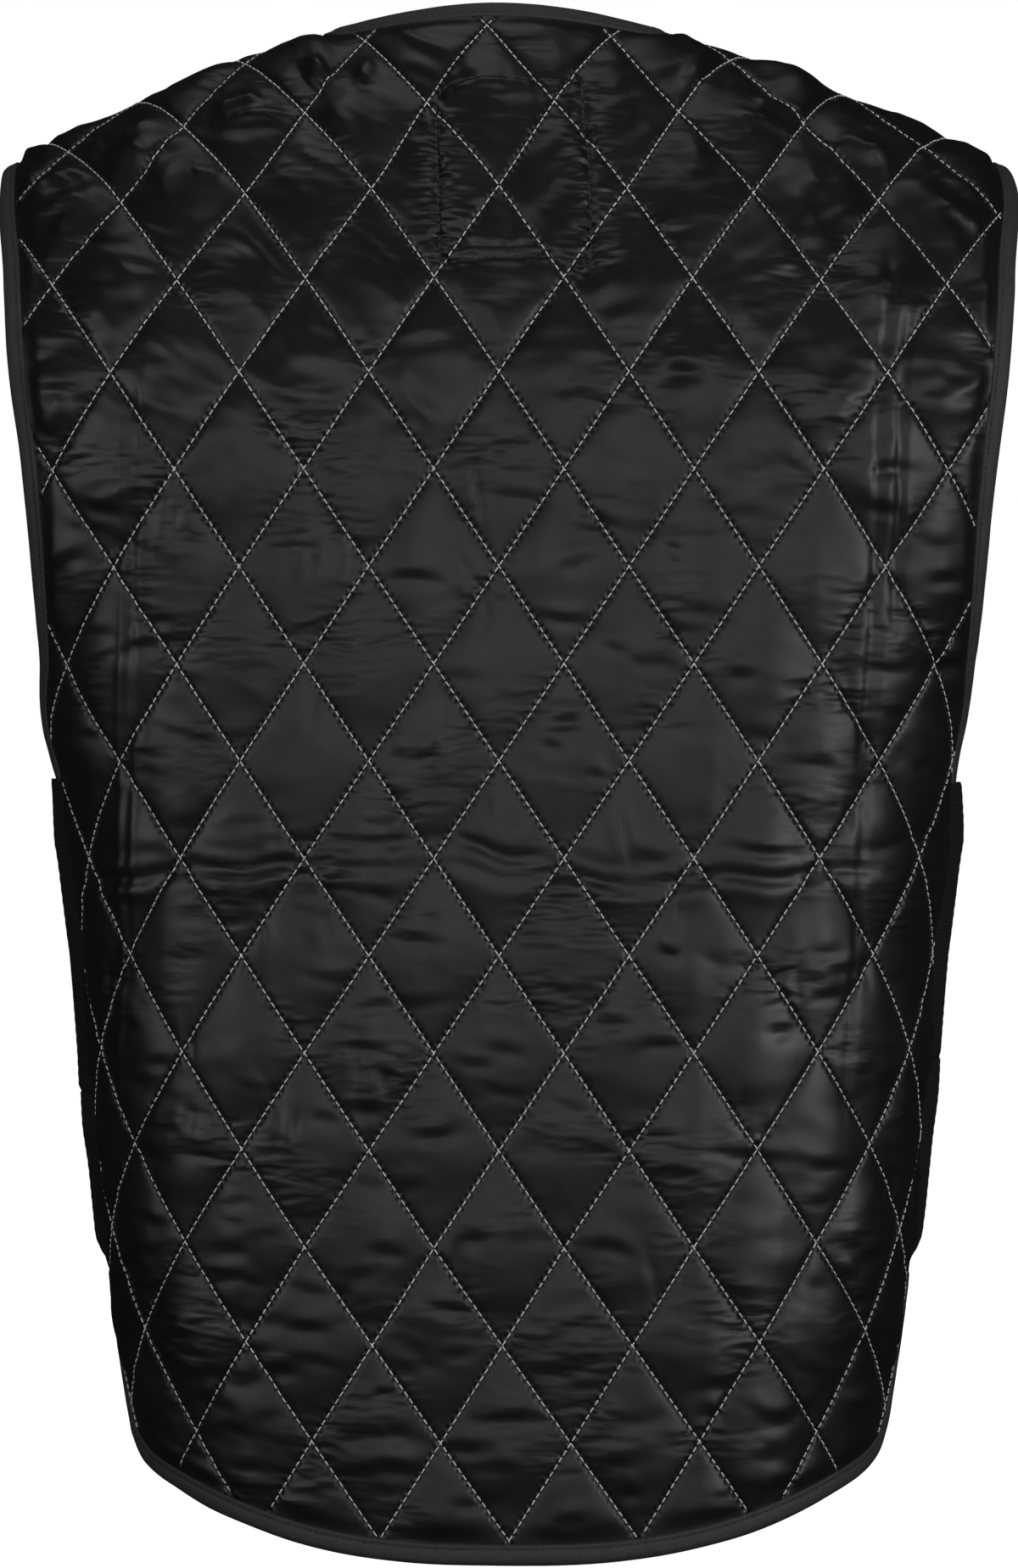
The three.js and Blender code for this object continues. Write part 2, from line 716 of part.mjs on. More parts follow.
// Slider on the teeth just below the neck, with its pull hanging down the front
const sliderPlace = zipTop - sliderLength;
const sliderPoint = surfacePoint(frontFace, 0, sliderPlace);
const sliderOut = surfaceNormal(frontFace, 0, sliderPlace);
const sliderAcross = new THREE.Vector3(1, 0, 0);
const sliderUp = sliderOut.clone().cross(sliderAcross);
const sliderTurn = new THREE.Matrix4().makeBasis(sliderAcross, sliderUp, sliderOut);
const zipHead = new THREE.Group();
zipHead.position.copy(sliderPoint).addScaledVector(sliderOut, teethTop + 2 * seamGap);
zipHead.setRotationFromMatrix(sliderTurn);
vest.add(zipHead);

function sliderGeometry() {
  const half = sliderWidth / 2;
  const shape = new THREE.Shape([
    new THREE.Vector2(-0.55 * half, -sliderLength / 2),
    new THREE.Vector2(0.55 * half, -sliderLength / 2),
    new THREE.Vector2(half, 0.1 * sliderLength),
    new THREE.Vector2(0.85 * half, sliderLength / 2),
    new THREE.Vector2(-0.85 * half, sliderLength / 2),
    new THREE.Vector2(-half, 0.1 * sliderLength),
  ]);
  const bare = new THREE.ExtrudeGeometry(shape, { depth: sliderHeight, bevelEnabled: false });
  bare.deleteAttribute('normal');
  bare.deleteAttribute('uv');
  return mergeVertices(bare);
}

function pullGeometry() {
  const shape = new THREE.Shape();
  const half = pullWidth / 2;
  shape.moveTo(-0.6 * half, 0);
  shape.lineTo(-half, -pullLength + half);
  shape.absarc(0, -pullLength + half, half, Math.PI, 2 * Math.PI, false);
  shape.lineTo(0.6 * half, 0);
  const options = { depth: pullThickness, bevelEnabled: false, curveSegments: 8 };
  const bare = new THREE.ExtrudeGeometry(shape, options);
  bare.deleteAttribute('normal');
  bare.deleteAttribute('uv');
  return mergeVertices(bare);
}

addMesh(zipHead, 'zip_slider', sliderGeometry(), zipMetal);
const pull = addMesh(zipHead, 'zip_pull', pullGeometry(), zipMetal);
pull.position.set(0, 0.3 * sliderLength, sliderHeight + seamGap);

export default vest;
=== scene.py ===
# Looks of a black satin cooling vest, quilted in diamonds, built round its CAD solids.
# The cloth is drawn flat, in millimetres, and laid on the same body form that the solids have:
# u runs across a panel from its middle, v up it from where it starts to bend over the shoulder,
# and w out of the stitched surface. Blender's objects are in metres.

import math

import bpy
import numpy as np
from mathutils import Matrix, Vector
from mathutils.geometry import delaunay_2d_cdt


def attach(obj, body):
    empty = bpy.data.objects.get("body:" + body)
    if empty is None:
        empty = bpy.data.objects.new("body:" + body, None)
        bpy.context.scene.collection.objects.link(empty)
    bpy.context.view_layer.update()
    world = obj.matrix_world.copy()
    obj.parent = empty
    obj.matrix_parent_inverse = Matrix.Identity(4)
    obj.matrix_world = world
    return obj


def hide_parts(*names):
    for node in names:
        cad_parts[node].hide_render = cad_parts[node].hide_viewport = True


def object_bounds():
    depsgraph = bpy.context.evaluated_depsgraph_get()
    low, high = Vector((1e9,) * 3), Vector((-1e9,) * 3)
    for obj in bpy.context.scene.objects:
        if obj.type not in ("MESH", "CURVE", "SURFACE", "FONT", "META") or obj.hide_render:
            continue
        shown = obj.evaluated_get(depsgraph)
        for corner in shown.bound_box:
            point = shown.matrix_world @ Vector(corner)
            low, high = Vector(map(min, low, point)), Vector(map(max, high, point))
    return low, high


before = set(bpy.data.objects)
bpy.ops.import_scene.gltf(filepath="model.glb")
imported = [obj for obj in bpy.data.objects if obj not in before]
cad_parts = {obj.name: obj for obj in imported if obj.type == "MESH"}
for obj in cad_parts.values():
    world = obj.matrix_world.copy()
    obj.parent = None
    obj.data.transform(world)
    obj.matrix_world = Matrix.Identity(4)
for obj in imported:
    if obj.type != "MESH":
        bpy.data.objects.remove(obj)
cad_low, cad_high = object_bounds()

MM = 0.001
SEED = 7
SIDES = (("left", 1), ("right", -1))

# Camera: level with the middle of the back, three metres behind it
CAMERA_DISTANCE = 3.0
CAMERA_HEIGHT = -0.3144
VIEW_HEIGHT = 0.6948
SENSOR = 36.0

# Body form, the same sizes as the solids have
BACK_LENGTH = 661.0
CHEST_HALF_WIDTH = 206.0
BACK_REACH = 98.0
FRONT_REACH = 142.0
SIDE_SETBACK = 125.0
BACK_BEND_DROP = 153.0
FRONT_BEND_DROP = 165.0
HEM_SIDE_LIFT = 17.0
NECK_HALF_WIDTH = 75.0
SHOULDER_HALF_WIDTH = 229.0
SHOULDER_DROP = 62.0
RIDGE_SWEEP = 31.0
NAPE_RISE = 14.0
BACK_SHOULDER_ROUND = 1.65
FRONT_SHOULDER_ROUND = 1.8
SEAM_BLEND = 14.0
PANEL_HALF_SPAN = 231.0

# Quilted cloth
DIAMOND_WIDTH = 57.7
DIAMOND_HEIGHT = 86.4
QUILT_SHIFT = 4.5
FIRST_ROW_RISE = 21.6
CLOTH_WALL = 4.0
PUFF = 2.4
CREASE_SHARE = 0.05
BACK_SPLITS = 9
FRONT_SPLITS = 7
STITCH_PITCH = 3.75
STITCH_LENGTH = 2.75
THREAD_RADIUS = 0.27
PATCH_THREAD_RADIUS = 0.4
EDGE_STITCH_PITCH = 3.2
EDGE_STITCH_LENGTH = 2.5
EDGE_THREAD_RADIUS = 0.26
DIAMOND_SIDE = math.hypot(DIAMOND_WIDTH, DIAMOND_HEIGHT) / 2
LINE_SPACING = DIAMOND_WIDTH * DIAMOND_HEIGHT / (2 * DIAMOND_SIDE)

# Worn cloth: neck leaning to the wearer's left, shoulder tips reaching out, left side puffed out
LEAN = 5.5
TIP_REACH = 3.4
SIDE_PUFF = 4.5
SIDE_PUFF_LEVEL = -290.0
SIDE_PUFF_HEIGHT = 28.0

# Bindings with the cloth tucked into them, straps and zip
TUCK = 3.0
STRAP_THICKNESS = 2.4
STRAP_BOW = 9.0
STRAP_GAP = 0.8
STRAP_RISE = 0.0045
STRAP_ROWS = 56
STRAP_COLUMNS = 40
SEAM_GAP = 0.3
ZIP_TEETH_WIDTH = 6.0
ZIP_TEETH_THICKNESS = 2.4
ZIP_TAPE_WIDTH = 8.0
ZIP_TAPE_THICKNESS = 1.4
ZIP_TAPE_OVERLAP = 1.2
ZIP_PITCH = 2.0
ZIP_TOOTH_HALF = 0.714

# Horizontal sections of the body: level below the origin as a share of the back's length,
# width as a share of the chest's half width, fullness of the superellipse
BODY_SECTIONS = np.array(
    [
        (-0.30, 1.25, 5.0),
        (0.134, 1.25, 5.0),
        (0.232, 1.19, 4.2),
        (0.330, 1.12, 3.6),
        (0.395, 1.05, 3.4),
        (0.461, 1.00, 3.2),
        (0.592, 0.95, 3.0),
        (0.722, 0.92, 3.0),
        (0.853, 0.882, 2.9),
        (0.919, 0.855, 2.7),
        (1.050, 0.815, 2.6),
    ]
)

# Cloth edges laid flat: (share of the half span, share of the back's length above the bend)
BACK_ARMHOLE = [
    (0.991, 0.163),
    (0.964, 0.098),
    (0.947, 0.033),
    (0.932, -0.033),
    (0.935, -0.100),
    (0.962, -0.158),
    (0.993, -0.196),
]
BACK_HEM = [
    (0.975, -0.628),
    (0.930, -0.668),
    (0.850, -0.702),
    (0.650, -0.7195),
    (0.400, -0.7425),
    (0.200, -0.7525),
]
BACK_HEM_MIDDLE = -0.7545
BACK_NECK = [(0.345, 0.3175), (0.290, 0.3095), (0.180, 0.3055)]
BACK_NECK_MIDDLE = 0.3045
FRONT_ARMHOLE = [
    (0.965, 0.160),
    (0.928, 0.090),
    (0.908, 0.010),
    (0.912, -0.070),
    (0.950, -0.130),
    (0.990, -0.172),
]
FRONT_HEM = [
    (0.905, -0.615),
    (0.860, -0.655),
    (0.780, -0.682),
    (0.600, -0.693),
    (0.350, -0.701),
]
FRONT_HEM_MIDDLE = -0.705
FRONT_NECK = [(0.355, 0.270), (0.315, 0.215), (0.235, 0.150), (0.130, 0.095)]
FRONT_NECK_MIDDLE = 0.068
SEAM_AT_NECK = 0.367
SEAM_AT_TIP = 1.035
FRONT_SIDE_TAPER = 0.93
EDGE_SPACING = 2.5
BACK_TABLES = (BACK_NECK, BACK_ARMHOLE, BACK_HEM)
FRONT_TABLES = (FRONT_NECK, FRONT_ARMHOLE, FRONT_HEM)

# Elastic straps: name, side (+1 the wearer's left), top and bottom below the origin as shares
STRAPS = [
    ("side_strap_upper_left", 1, 0.477, 0.6904),
    ("side_strap_lower_left", 1, 0.6906, 0.813),
    ("side_strap_upper_right", -1, 0.479, 0.6664),
    ("side_strap_lower_right", -1, 0.6666, 0.813),
]


# Lines, directions and faces


def unit(vectors):
    return vectors / np.linalg.norm(vectors, axis=-1, keepdims=True)


def arc_of(points):
    """Arc length of each point from the start of its line."""
    return np.concatenate([[0], np.cumsum(np.linalg.norm(np.diff(points, axis=0), axis=1))])


def read_along(values, arc, places):
    """Rows of values read between their places along a line."""
    return np.stack([np.interp(places, arc, column) for column in values.T], axis=1)


def smoothstep(value, low, high):
    share = np.clip((value - low) / (high - low), 0, 1)
    return share * share * (3 - 2 * share)


def bell(value):
    return np.exp(-(value**2))


def hermite_weights(t):
    """Weights of four neighbours for a smooth curve through the middle two."""
    return (
        ((-0.5 * t + 1) * t - 0.5) * t,
        ((1.5 * t - 2.5) * t) * t + 1,
        ((-1.5 * t + 2) * t + 0.5) * t,
        ((0.5 * t - 0.5) * t) * t,
    )


def quads(a, b, c, d):
    """Two triangles for each face with four corners."""
    halves = [np.stack(corners, -1).reshape(-1, 3) for corners in ((a, b, c), (a, c, d))]
    return np.concatenate(halves)


def prism_faces(rings, sides):
    """Triangles of a closed stack of rings of points."""
    faces = []
    for ring in range(rings - 1):
        for k in range(sides):
            a, b = ring * sides + k, ring * sides + (k + 1) % sides
            faces += [(a, b, b + sides), (a, b + sides, a + sides)]
    last = (rings - 1) * sides
    for k in range(1, sides - 1):
        faces += [(0, k + 1, k), (last, last + k, last + k + 1)]
    return np.array(faces)


def facing_out(points, faces):
    """The faces of a closed solid, turned round if they face into it."""
    corners = points[faces]
    volume = (corners[:, 0] * np.cross(corners[:, 1], corners[:, 2])).sum()
    return faces[:, ::-1] if volume < 0 else faces


# Body form


def superellipse(reach, depth, exponent, arc):
    """Quarter superellipses at an arc length from the flat end: along, inward and whole length."""
    reach, depth, exponent, arc = np.broadcast_arrays(reach, depth, exponent, arc)
    along, inward, total = (np.empty(arc.shape) for _ in range(3))
    angle = np.linspace(0, math.pi / 2, 201)
    sine = np.sin(angle)
    cosine = np.maximum(np.cos(angle), 0)
    for start in range(0, len(arc), 4000):
        part = slice(start, start + 4000)
        power = 2 / exponent[part, None]
        x = reach[part, None] * sine**power
        y = depth[part, None] * (1 - cosine**power)
        lengths = np.zeros_like(x)
        lengths[:, 1:] = np.cumsum(np.hypot(np.diff(x), np.diff(y)), axis=1)
        wanted = arc[part]
        rows = np.arange(len(wanted))
        index = np.clip((lengths < wanted[:, None]).sum(1), 1, 200)
        before = lengths[rows, index - 1]
        after = lengths[rows, index]
        share = np.clip((wanted - before) / np.maximum(after - before, 1e-9), 0, 1)
        past = np.maximum(wanted - lengths[:, -1], 0)
        along[part] = x[rows, index - 1] * (1 - share) + x[rows, index] * share
        inward[part] = y[rows, index - 1] * (1 - share) + y[rows, index] * share + past
        total[part] = lengths[:, -1]
    return along, inward, total


def ridge_at(x):
    """Shoulder ridge over a place across the body."""
    soft_x = np.hypot(x, 0.4 * NECK_HALF_WIDTH)
    run = (soft_x - NECK_HALF_WIDTH) / (SHOULDER_HALF_WIDTH - NECK_HALF_WIDTH)
    nape = np.maximum(1 - (x / (1.13 * NECK_HALF_WIDTH)) ** 2, 0) ** 2
    height = SHOULDER_DROP * (0.5 - 0.64 * run - 0.36 * run * run) + NAPE_RISE * nape
    forward = RIDGE_SWEEP * (x / SHOULDER_HALF_WIDTH) ** 2
    return np.stack([x, -forward, height], axis=-1)


RIDGE_X = np.arange(0, 1.3 * SHOULDER_HALF_WIDTH)
RIDGE_ARC = arc_of(ridge_at(RIDGE_X))


def ridge_at_arc(u):
    return ridge_at(np.sign(u) * np.interp(np.abs(u), RIDGE_ARC, RIDGE_X))


class Face:
    """One face of the body form, read from a grid of its points and outward directions."""

    STEP = 4.0
    LOW_U = -260.0
    LOW_V = -528.0
    HIGH_V = 300.0

    def __init__(self, facing, reach, depth, bend_drop, shoulder_round, flatten):
        self.facing = facing
        self.reach = reach
        self.depth = depth
        self.bend_drop = bend_drop
        self.shoulder_round = shoulder_round
        self.flatten = flatten
        us = np.arange(self.LOW_U, -self.LOW_U + 1, self.STEP)
        vs = np.arange(self.LOW_V, self.HIGH_V + 1, self.STEP)
        u, v = np.meshgrid(us, vs)
        points = self.surface(u.ravel(), v.ravel()).reshape(len(vs), len(us), 3)
        level = points[..., 2]
        tip = smoothstep(np.abs(u), 180, 235) * smoothstep(level, -85, -40)
        puff = smoothstep(u, 150, 231) * bell((level - SIDE_PUFF_LEVEL) / SIDE_PUFF_HEIGHT)
        points[..., 0] += LEAN * smoothstep(level, -50, 15)
        points[..., 0] += TIP_REACH * np.sign(u) * tip + SIDE_PUFF * puff
        normals = unit(np.cross(np.gradient(points, axis=0), np.gradient(points, axis=1)))
        normals *= facing
        to_seam = np.where(v > 0, self.seam_arc(us)[None, :] - v, 1e9)
        ridge_run = ridge_at_arc(us + 0.5) - ridge_at_arc(us - 0.5)
        upward = unit(np.stack([-ridge_run[:, 2], 0 * us, ridge_run[:, 0]], axis=1))
        share = smoothstep(SEAM_BLEND - to_seam, 0, SEAM_BLEND)[..., None]
        normals = normals * (1 - share) + upward[None] * share
        self.grid = np.concatenate([points, normals], axis=2)

    def column(self, u, v):
        """Place on a level section, and the shoulder ridge with its rise and run from there."""
        level = (self.bend_drop - v) / BACK_LENGTH
        levels, widths, fullnesses = BODY_SECTIONS.T
        width = CHEST_HALF_WIDTH * np.interp(level, levels, widths)
        fullness = 2 + self.flatten * (np.interp(level, levels, fullnesses) - 2)
        along, inward, _ = superellipse(width, self.depth, fullness, np.abs(u))
        ridge = ridge_at_arc(u)
        y = self.facing * (self.reach - inward)
        rise = ridge[:, 2] + self.bend_drop
        run = self.facing * (y - ridge[:, 1])
        return np.sign(u) * along, y, ridge, rise, run

    def seam_arc(self, u):
        """Arc length from the bend to the shoulder ridge."""
        u = np.atleast_1d(np.asarray(u, float))
        _, _, _, rise, run = self.column(u, np.full(len(u), 0.7 * self.bend_drop))
        return superellipse(rise, run, self.shoulder_round, 0 * u)[2]

    def surface(self, u, v):
        x, y, ridge, rise, run = self.column(u, v)
        level = (self.bend_drop - v) / BACK_LENGTH
        ramp = np.clip((level - 0.65) / 0.27, 0, 1.2)
        lift = HEM_SIDE_LIFT * (u / PANEL_HALF_SPAN) ** 4 * ramp
        low = np.stack([x, y, v - self.bend_drop + lift], axis=1)
        bent = np.maximum(v, 0)
        along, inward, total = superellipse(rise, run, self.shoulder_round, bent)
        near = np.minimum(bent / total, 1) ** 2
        high_x = x * (1 - near) + ridge[:, 0] * near
        high = np.stack([high_x, y - self.facing * inward, along - self.bend_drop], axis=1)
        return np.where((v <= 0)[:, None], low, high)

    def at(self, u, v):
        """Points and outward directions of the stitched surface, smoothly between the grid's."""
        u = np.asarray(u, float)
        v = np.asarray(v, float)
        across = (u - self.LOW_U) / self.STEP
        up = (v - self.LOW_V) / self.STEP
        rows, columns = self.grid.shape[:2]
        i = np.clip(np.floor(across).astype(int), 1, columns - 3)
        j = np.clip(np.floor(up).astype(int), 1, rows - 3)
        across_weights = hermite_weights(across - i)
        up_weights = hermite_weights(up - j)
        found = np.zeros(u.shape + (6,))
        for b in range(4):
            for a in range(4):
                weight = up_weights[b] * across_weights[a]
                found += weight[..., None] * self.grid[j + b - 1, i + a - 1]
        return found[..., :3], unit(found[..., 3:])

    def warp(self, u, v, w):
        points, normals = self.at(u, v)
        return points + normals * np.asarray(w)[..., None]


front_depth = FRONT_REACH + BACK_REACH - SIDE_SETBACK
back = Face(1, BACK_REACH, SIDE_SETBACK, BACK_BEND_DROP, BACK_SHOULDER_ROUND, 1.0)
front = Face(-1, FRONT_REACH, front_depth, FRONT_BEND_DROP, FRONT_SHOULDER_ROUND, 0.65)


def flat_from_view(face, seen):
    """Flat places of what the camera sees at (across, up), in millimetres at the back's depth."""
    x, y, z = np.moveaxis(face.grid[..., :3], 2, 0)
    near = CAMERA_DISTANCE / MM / (CAMERA_DISTANCE / MM + BACK_REACH - y)
    view = np.stack([x * near, (z - CAMERA_HEIGHT / MM) * near + CAMERA_HEIGHT / MM], 2)
    view[face.grid[..., 4] < 0.05] = 1e6
    found = []
    for place in np.asarray(seen, float):
        gap = np.linalg.norm(view - place, axis=2)
        j, i = np.unravel_index(gap.argmin(), gap.shape)
        across = (view[j, i + 1] - view[j, i - 1]) / 2
        up = (view[j + 1, i] - view[j - 1, i]) / 2
        share = np.linalg.solve(np.stack([across, up], 1), place - view[j, i])
        found.append(
            (face.LOW_U + (i + share[0]) * face.STEP, face.LOW_V + (j + share[1]) * face.STEP)
        )
    return np.array(found)


# Cloth edges, laid flat


def spaced(places, spacing):
    """Points a spacing apart along a smooth line through the places."""
    places = np.asarray(places, float)
    count = len(places)
    t = np.linspace(0, count - 1, 60 * count)
    index = np.minimum(t.astype(int), count - 2)
    weights = hermite_weights((t - index)[:, None])
    line = sum(weights[k] * places[np.clip(index + k - 1, 0, count - 1)] for k in range(4))
    arc = arc_of(line)
    wanted = np.linspace(0, arc[-1], max(round(arc[-1] / spacing), 2) + 1)
    return read_along(line, arc, wanted)


def off_line(places):
    """Directions to the left of the way along a flat line."""
    along = unit(np.gradient(places, axis=0))
    return np.stack([-along[:, 1], along[:, 0]], axis=1)


def let_out(places, distance):
    """The line moved to the left of the way along it, for a positive distance."""
    return places + distance * off_line(places)


def seam_place(face, across):
    """Flat place on the shoulder seam."""
    u = across * PANEL_HALF_SPAN
    return (u, float(face.seam_arc(u)[0]) - SEAM_GAP / 2)


def side_place(face, across, level):
    """Flat place on the side edge, at a height of the worn vest."""
    u = across * PANEL_HALF_SPAN
    v = face.bend_drop - level * BACK_LENGTH
    lift = face.surface(np.array([u]), np.array([v]))[0, 2] + level * BACK_LENGTH
    return (u, v - lift)


def edges_of(face, side):
    """Edges of a panel's cloth on one side: neck, seam, armhole, side, hem."""
    is_back = face is back
    tables = BACK_TABLES if is_back else FRONT_TABLES
    neck, armhole, hem = ([*np.array(table) * (PANEL_HALF_SPAN, BACK_LENGTH)] for table in tables)
    levels = [row for row in STRAPS if row[1] == side]
    top = side_place(face, 1, levels[0][2] - 0.003)
    bottom = side_place(face, 1 if is_back else FRONT_SIDE_TAPER, levels[-1][3] + 0.002)
    middle = 0 if is_back else ZIP_TEETH_WIDTH / 2 + ZIP_TAPE_WIDTH + 2 * SEAM_GAP
    neck_middle = BACK_NECK_MIDDLE if is_back else FRONT_NECK_MIDDLE
    hem_middle = BACK_HEM_MIDDLE if is_back else FRONT_HEM_MIDDLE
    seam_us = np.linspace(SEAM_AT_NECK, SEAM_AT_TIP, 63) * PANEL_HALF_SPAN
    seam_vs = face.seam_arc(seam_us) - SEAM_GAP / 2
    at_neck = seam_place(face, SEAM_AT_NECK)
    at_tip = seam_place(face, SEAM_AT_TIP)
    edges = {
        "neck": spaced([at_neck, *neck, (middle, neck_middle * BACK_LENGTH)], EDGE_SPACING),
        "seam": np.stack([seam_us, seam_vs], axis=1),
        "armhole": spaced([at_tip, *armhole, top], EDGE_SPACING),
        "side": spaced([top, bottom], EDGE_SPACING),
        "hem": spaced([bottom, *hem, (middle, hem_middle * BACK_LENGTH)], EDGE_SPACING),
    }
    return {key: places * (side, 1) for key, places in edges.items()}


def half_outline(edges, tuck=0.0, side=1):
    """Outline of half a panel, with the bound edges let out by a tuck that the binding hides."""
    parts = [
        let_out(edges["neck"][::-1], side * tuck),
        edges["seam"],
        let_out(edges["armhole"], side * tuck),
        edges["side"],
        let_out(edges["hem"], side * tuck),
    ]
    return np.concatenate(parts)


def depth_inside(points, outline):
    """Distance of flat points from an outline, positive inside, and the nearest place on it."""
    a = outline
    b = np.roll(outline, -1, axis=0)
    run = b - a
    length = np.maximum((run**2).sum(1), 1e-9)
    nearest = np.empty_like(points)
    distance = np.empty(len(points))
    for start in range(0, len(points), 4000):
        p = points[start : start + 4000]
        offset = p[:, None] - a[None]
        share = np.clip((offset * run).sum(2) / length, 0, 1)
        foot = a + share[..., None] * run
        gap = ((p[:, None] - foot) ** 2).sum(2)
        best = gap.argmin(1)
        rows = np.arange(len(p))
        nearest[start : start + 4000] = foot[rows, best]
        above = (a[None, :, 1] > p[:, None, 1]) != (b[None, :, 1] > p[:, None, 1])
        slope = np.where(np.abs(run[:, 1]) > 1e-9, run[:, 1], 1e-9)
        cross = a[:, 0] + (p[:, None, 1] - a[:, 1]) * run[:, 0] / slope
        inside = (above & (p[:, None, 0] < cross)).sum(1) % 2 == 1
        away = np.sqrt(gap[rows, best])
        distance[start : start + 4000] = np.where(inside, away, -away)
    return distance, nearest


# Relief of the quilted cloth


def value_noise(u, v, seed):
    """Smooth noise from -1 to 1 over a grid of unit cells."""
    table = np.random.RandomState(seed).uniform(-1, 1, (64, 64))
    i = np.floor(u).astype(int)
    j = np.floor(v).astype(int)
    across = hermite_weights(u - i)
    up = hermite_weights(v - j)
    found = np.zeros(np.shape(u))
    for b in range(4):
        for a in range(4):
            found += up[b] * across[a] * table[(j + b - 1) % 64, (i + a - 1) % 64]
    return found


def crumple(u, v, seed, across, up):
    """Ridged noise, as cloth that has been folded: sharp crests and soft hollows."""
    bend_u = u + 9 * value_noise(u / 31, v / 31, seed + 1)
    bend_v = v + 9 * value_noise(u / 31, v / 31, seed + 2)
    first = 1 - np.abs(value_noise(bend_u / across, bend_v / up, seed)) * 2
    second = 1 - np.abs(value_noise(2 * bend_u / across, 2 * bend_v / up, seed + 3)) * 2
    return 0.7 * first + 0.3 * second


def quilt_shift(v):
    """Sideways shift of the quilting, which runs out towards the hem."""
    row = (v - FIRST_ROW_RISE) / (DIAMOND_HEIGHT / 4)
    return QUILT_SHIFT * np.clip((row + 24) / 6, 0, 1)


def quilt_places(u, v):
    """Counts along the two families of quilting lines, whole numbers on the lines."""
    column = (u - quilt_shift(v)) / (DIAMOND_WIDTH / 4)
    row = (v - FIRST_ROW_RISE) / (DIAMOND_HEIGHT / 4)
    return (column + row) / 4, (column - row) / 4


def pillow(u, v):
    """Height of the quilting from 0 on its lines to 1 inside a diamond."""
    height = 1.0
    for count in quilt_places(u, v):
        rounded = np.sqrt(np.sin(math.pi * count) ** 2 + CREASE_SHARE**2) - CREASE_SHARE
        height = height * np.clip(rounded, 0, 1) ** 0.62
    return height


def scattered_creases(u, v, seed, count, where):
    """Short creases at seeded places, hollow with a raised lip. where(u, v) is the share kept."""
    rng = np.random.RandomState(seed)
    height = np.zeros(len(u))
    for _ in range(count):
        u0, v0 = rng.uniform(-235, 235), rng.uniform(-505, 215)
        length, width = rng.uniform(4, 15), rng.uniform(1.8, 3.0)
        tilt, bow = rng.uniform(-0.16, 0.16), rng.uniform(-0.02, 0.02)
        deep = rng.uniform(0.4, 1.5)
        if rng.uniform() > where(u0, v0):
            continue
        close = (np.abs(u - u0) < 2.2 * length) & (np.abs(v - v0) < 14)
        if not close.any():
            continue
        across = u[close] - u0
        up = v[close] - v0 - tilt * across - bow * across**2
        lip = 0.6 * bell((up - 2.2 * width) / (1.6 * width))
        height[close] += deep * bell(across / length) * (lip - bell(up / width))
    return height


def path_relief(u, v, path, deep, pucker, period, reach, seed):
    """A sewn line sunk in the cloth, with puckers square to it on both sides."""
    low, high = path.min(0) - 4 * reach, path.max(0) + 4 * reach
    close = (u > low[0]) & (u < high[0]) & (v > low[1]) & (v < high[1])
    height = np.zeros(len(u))
    places = np.stack([u[close], v[close]], 1)
    if not len(places):
        return height
    arc = arc_of(path)
    gap = np.linalg.norm(places[:, None] - path[None], axis=2)
    best = gap.argmin(1)
    away = gap[np.arange(len(places)), best]
    run = np.gradient(path, axis=0)[best]
    offset = places - path[best]
    side = np.sign(run[:, 0] * offset[:, 1] - run[:, 1] * offset[:, 0])
    along = arc[best] / period + 0.25 * side
    waves = value_noise(2 * along, 0.5 + 3 * side, seed)
    ends = (best > 0) & (best < len(path) - 1)
    near = np.exp(-away / reach) * smoothstep(away, 0.2, 2.0) * ends
    height[close] = pucker * waves * near - deep * bell(away / 2.0) * ends
    return height


# Sewn lines of the patch behind the neck, as the camera sees them: (across, up)
PATCH_LINES = [
    [(32.3, -14.0), (31.6, -42.2), (30.6, -82.8)],
    [(32.3, -12.5), (30.1, -7.6), (21.4, -3.8), (-5.0, -3.2), (-31.8, -2.7)],
    [(-32.1, -2.7), (-33.8, -27.1), (-36.3, -86.9)],
    [(30.1, -83.5), (5.0, -81.9), (-16.5, -80.5), (-27.1, -85.4), (-33.8, -88.4)],
]
patch_paths = [spaced(flat_from_view(back, line), 1.0) for line in PATCH_LINES]


def fold_row(points, row):
    """One long fold, drawn as seen from behind: from (x, z) to (x, z), bow, width, height."""
    x0, z0, x1, z1, bow, width, height = row
    run = np.array([x1 - x0, z1 - z0])
    length = np.linalg.norm(run)
    run = run / length
    offset = points[:, [0, 2]] - (x0, z0)
    along = offset @ run / length
    across = offset @ np.array([-run[1], run[0]]) - bow * 4 * along * (1 - along)
    taper = smoothstep(along, -0.12, 0.25) * smoothstep(-along, -1.12, -0.7)
    return height * taper * bell(across / width)


# Folds of the worn back as seen from behind, from (across, up) to (across, up), bow, width, height
BACK_FOLDS = [
    (205, -60, 120, 14, 6, 7, 3.2),
    (212, -92, 150, -20, -5, 6, 2.8),
    (196, -104, 128, -62, 5, 8, 2.2),
    (168, -22, 108, 22, -4, 5, 2.4),
    (92, 26, 78, -34, -6, 7, 2.0),
    (-205, -62, -118, 12, -6, 7, 3.2),
    (-212, -95, -146, -22, 5, 6, 2.8),
    (-192, -108, -122, -58, -5, 8, 2.2),
    (-160, -20, -104, 20, 4, 5, 2.4),
    (-95, 24, -84, -38, 6, 7, 2.0),
    (196, -190, 120, -150, 6, 9, 2.0),
    (-196, -196, -118, -152, -6, 9, 2.0),
]


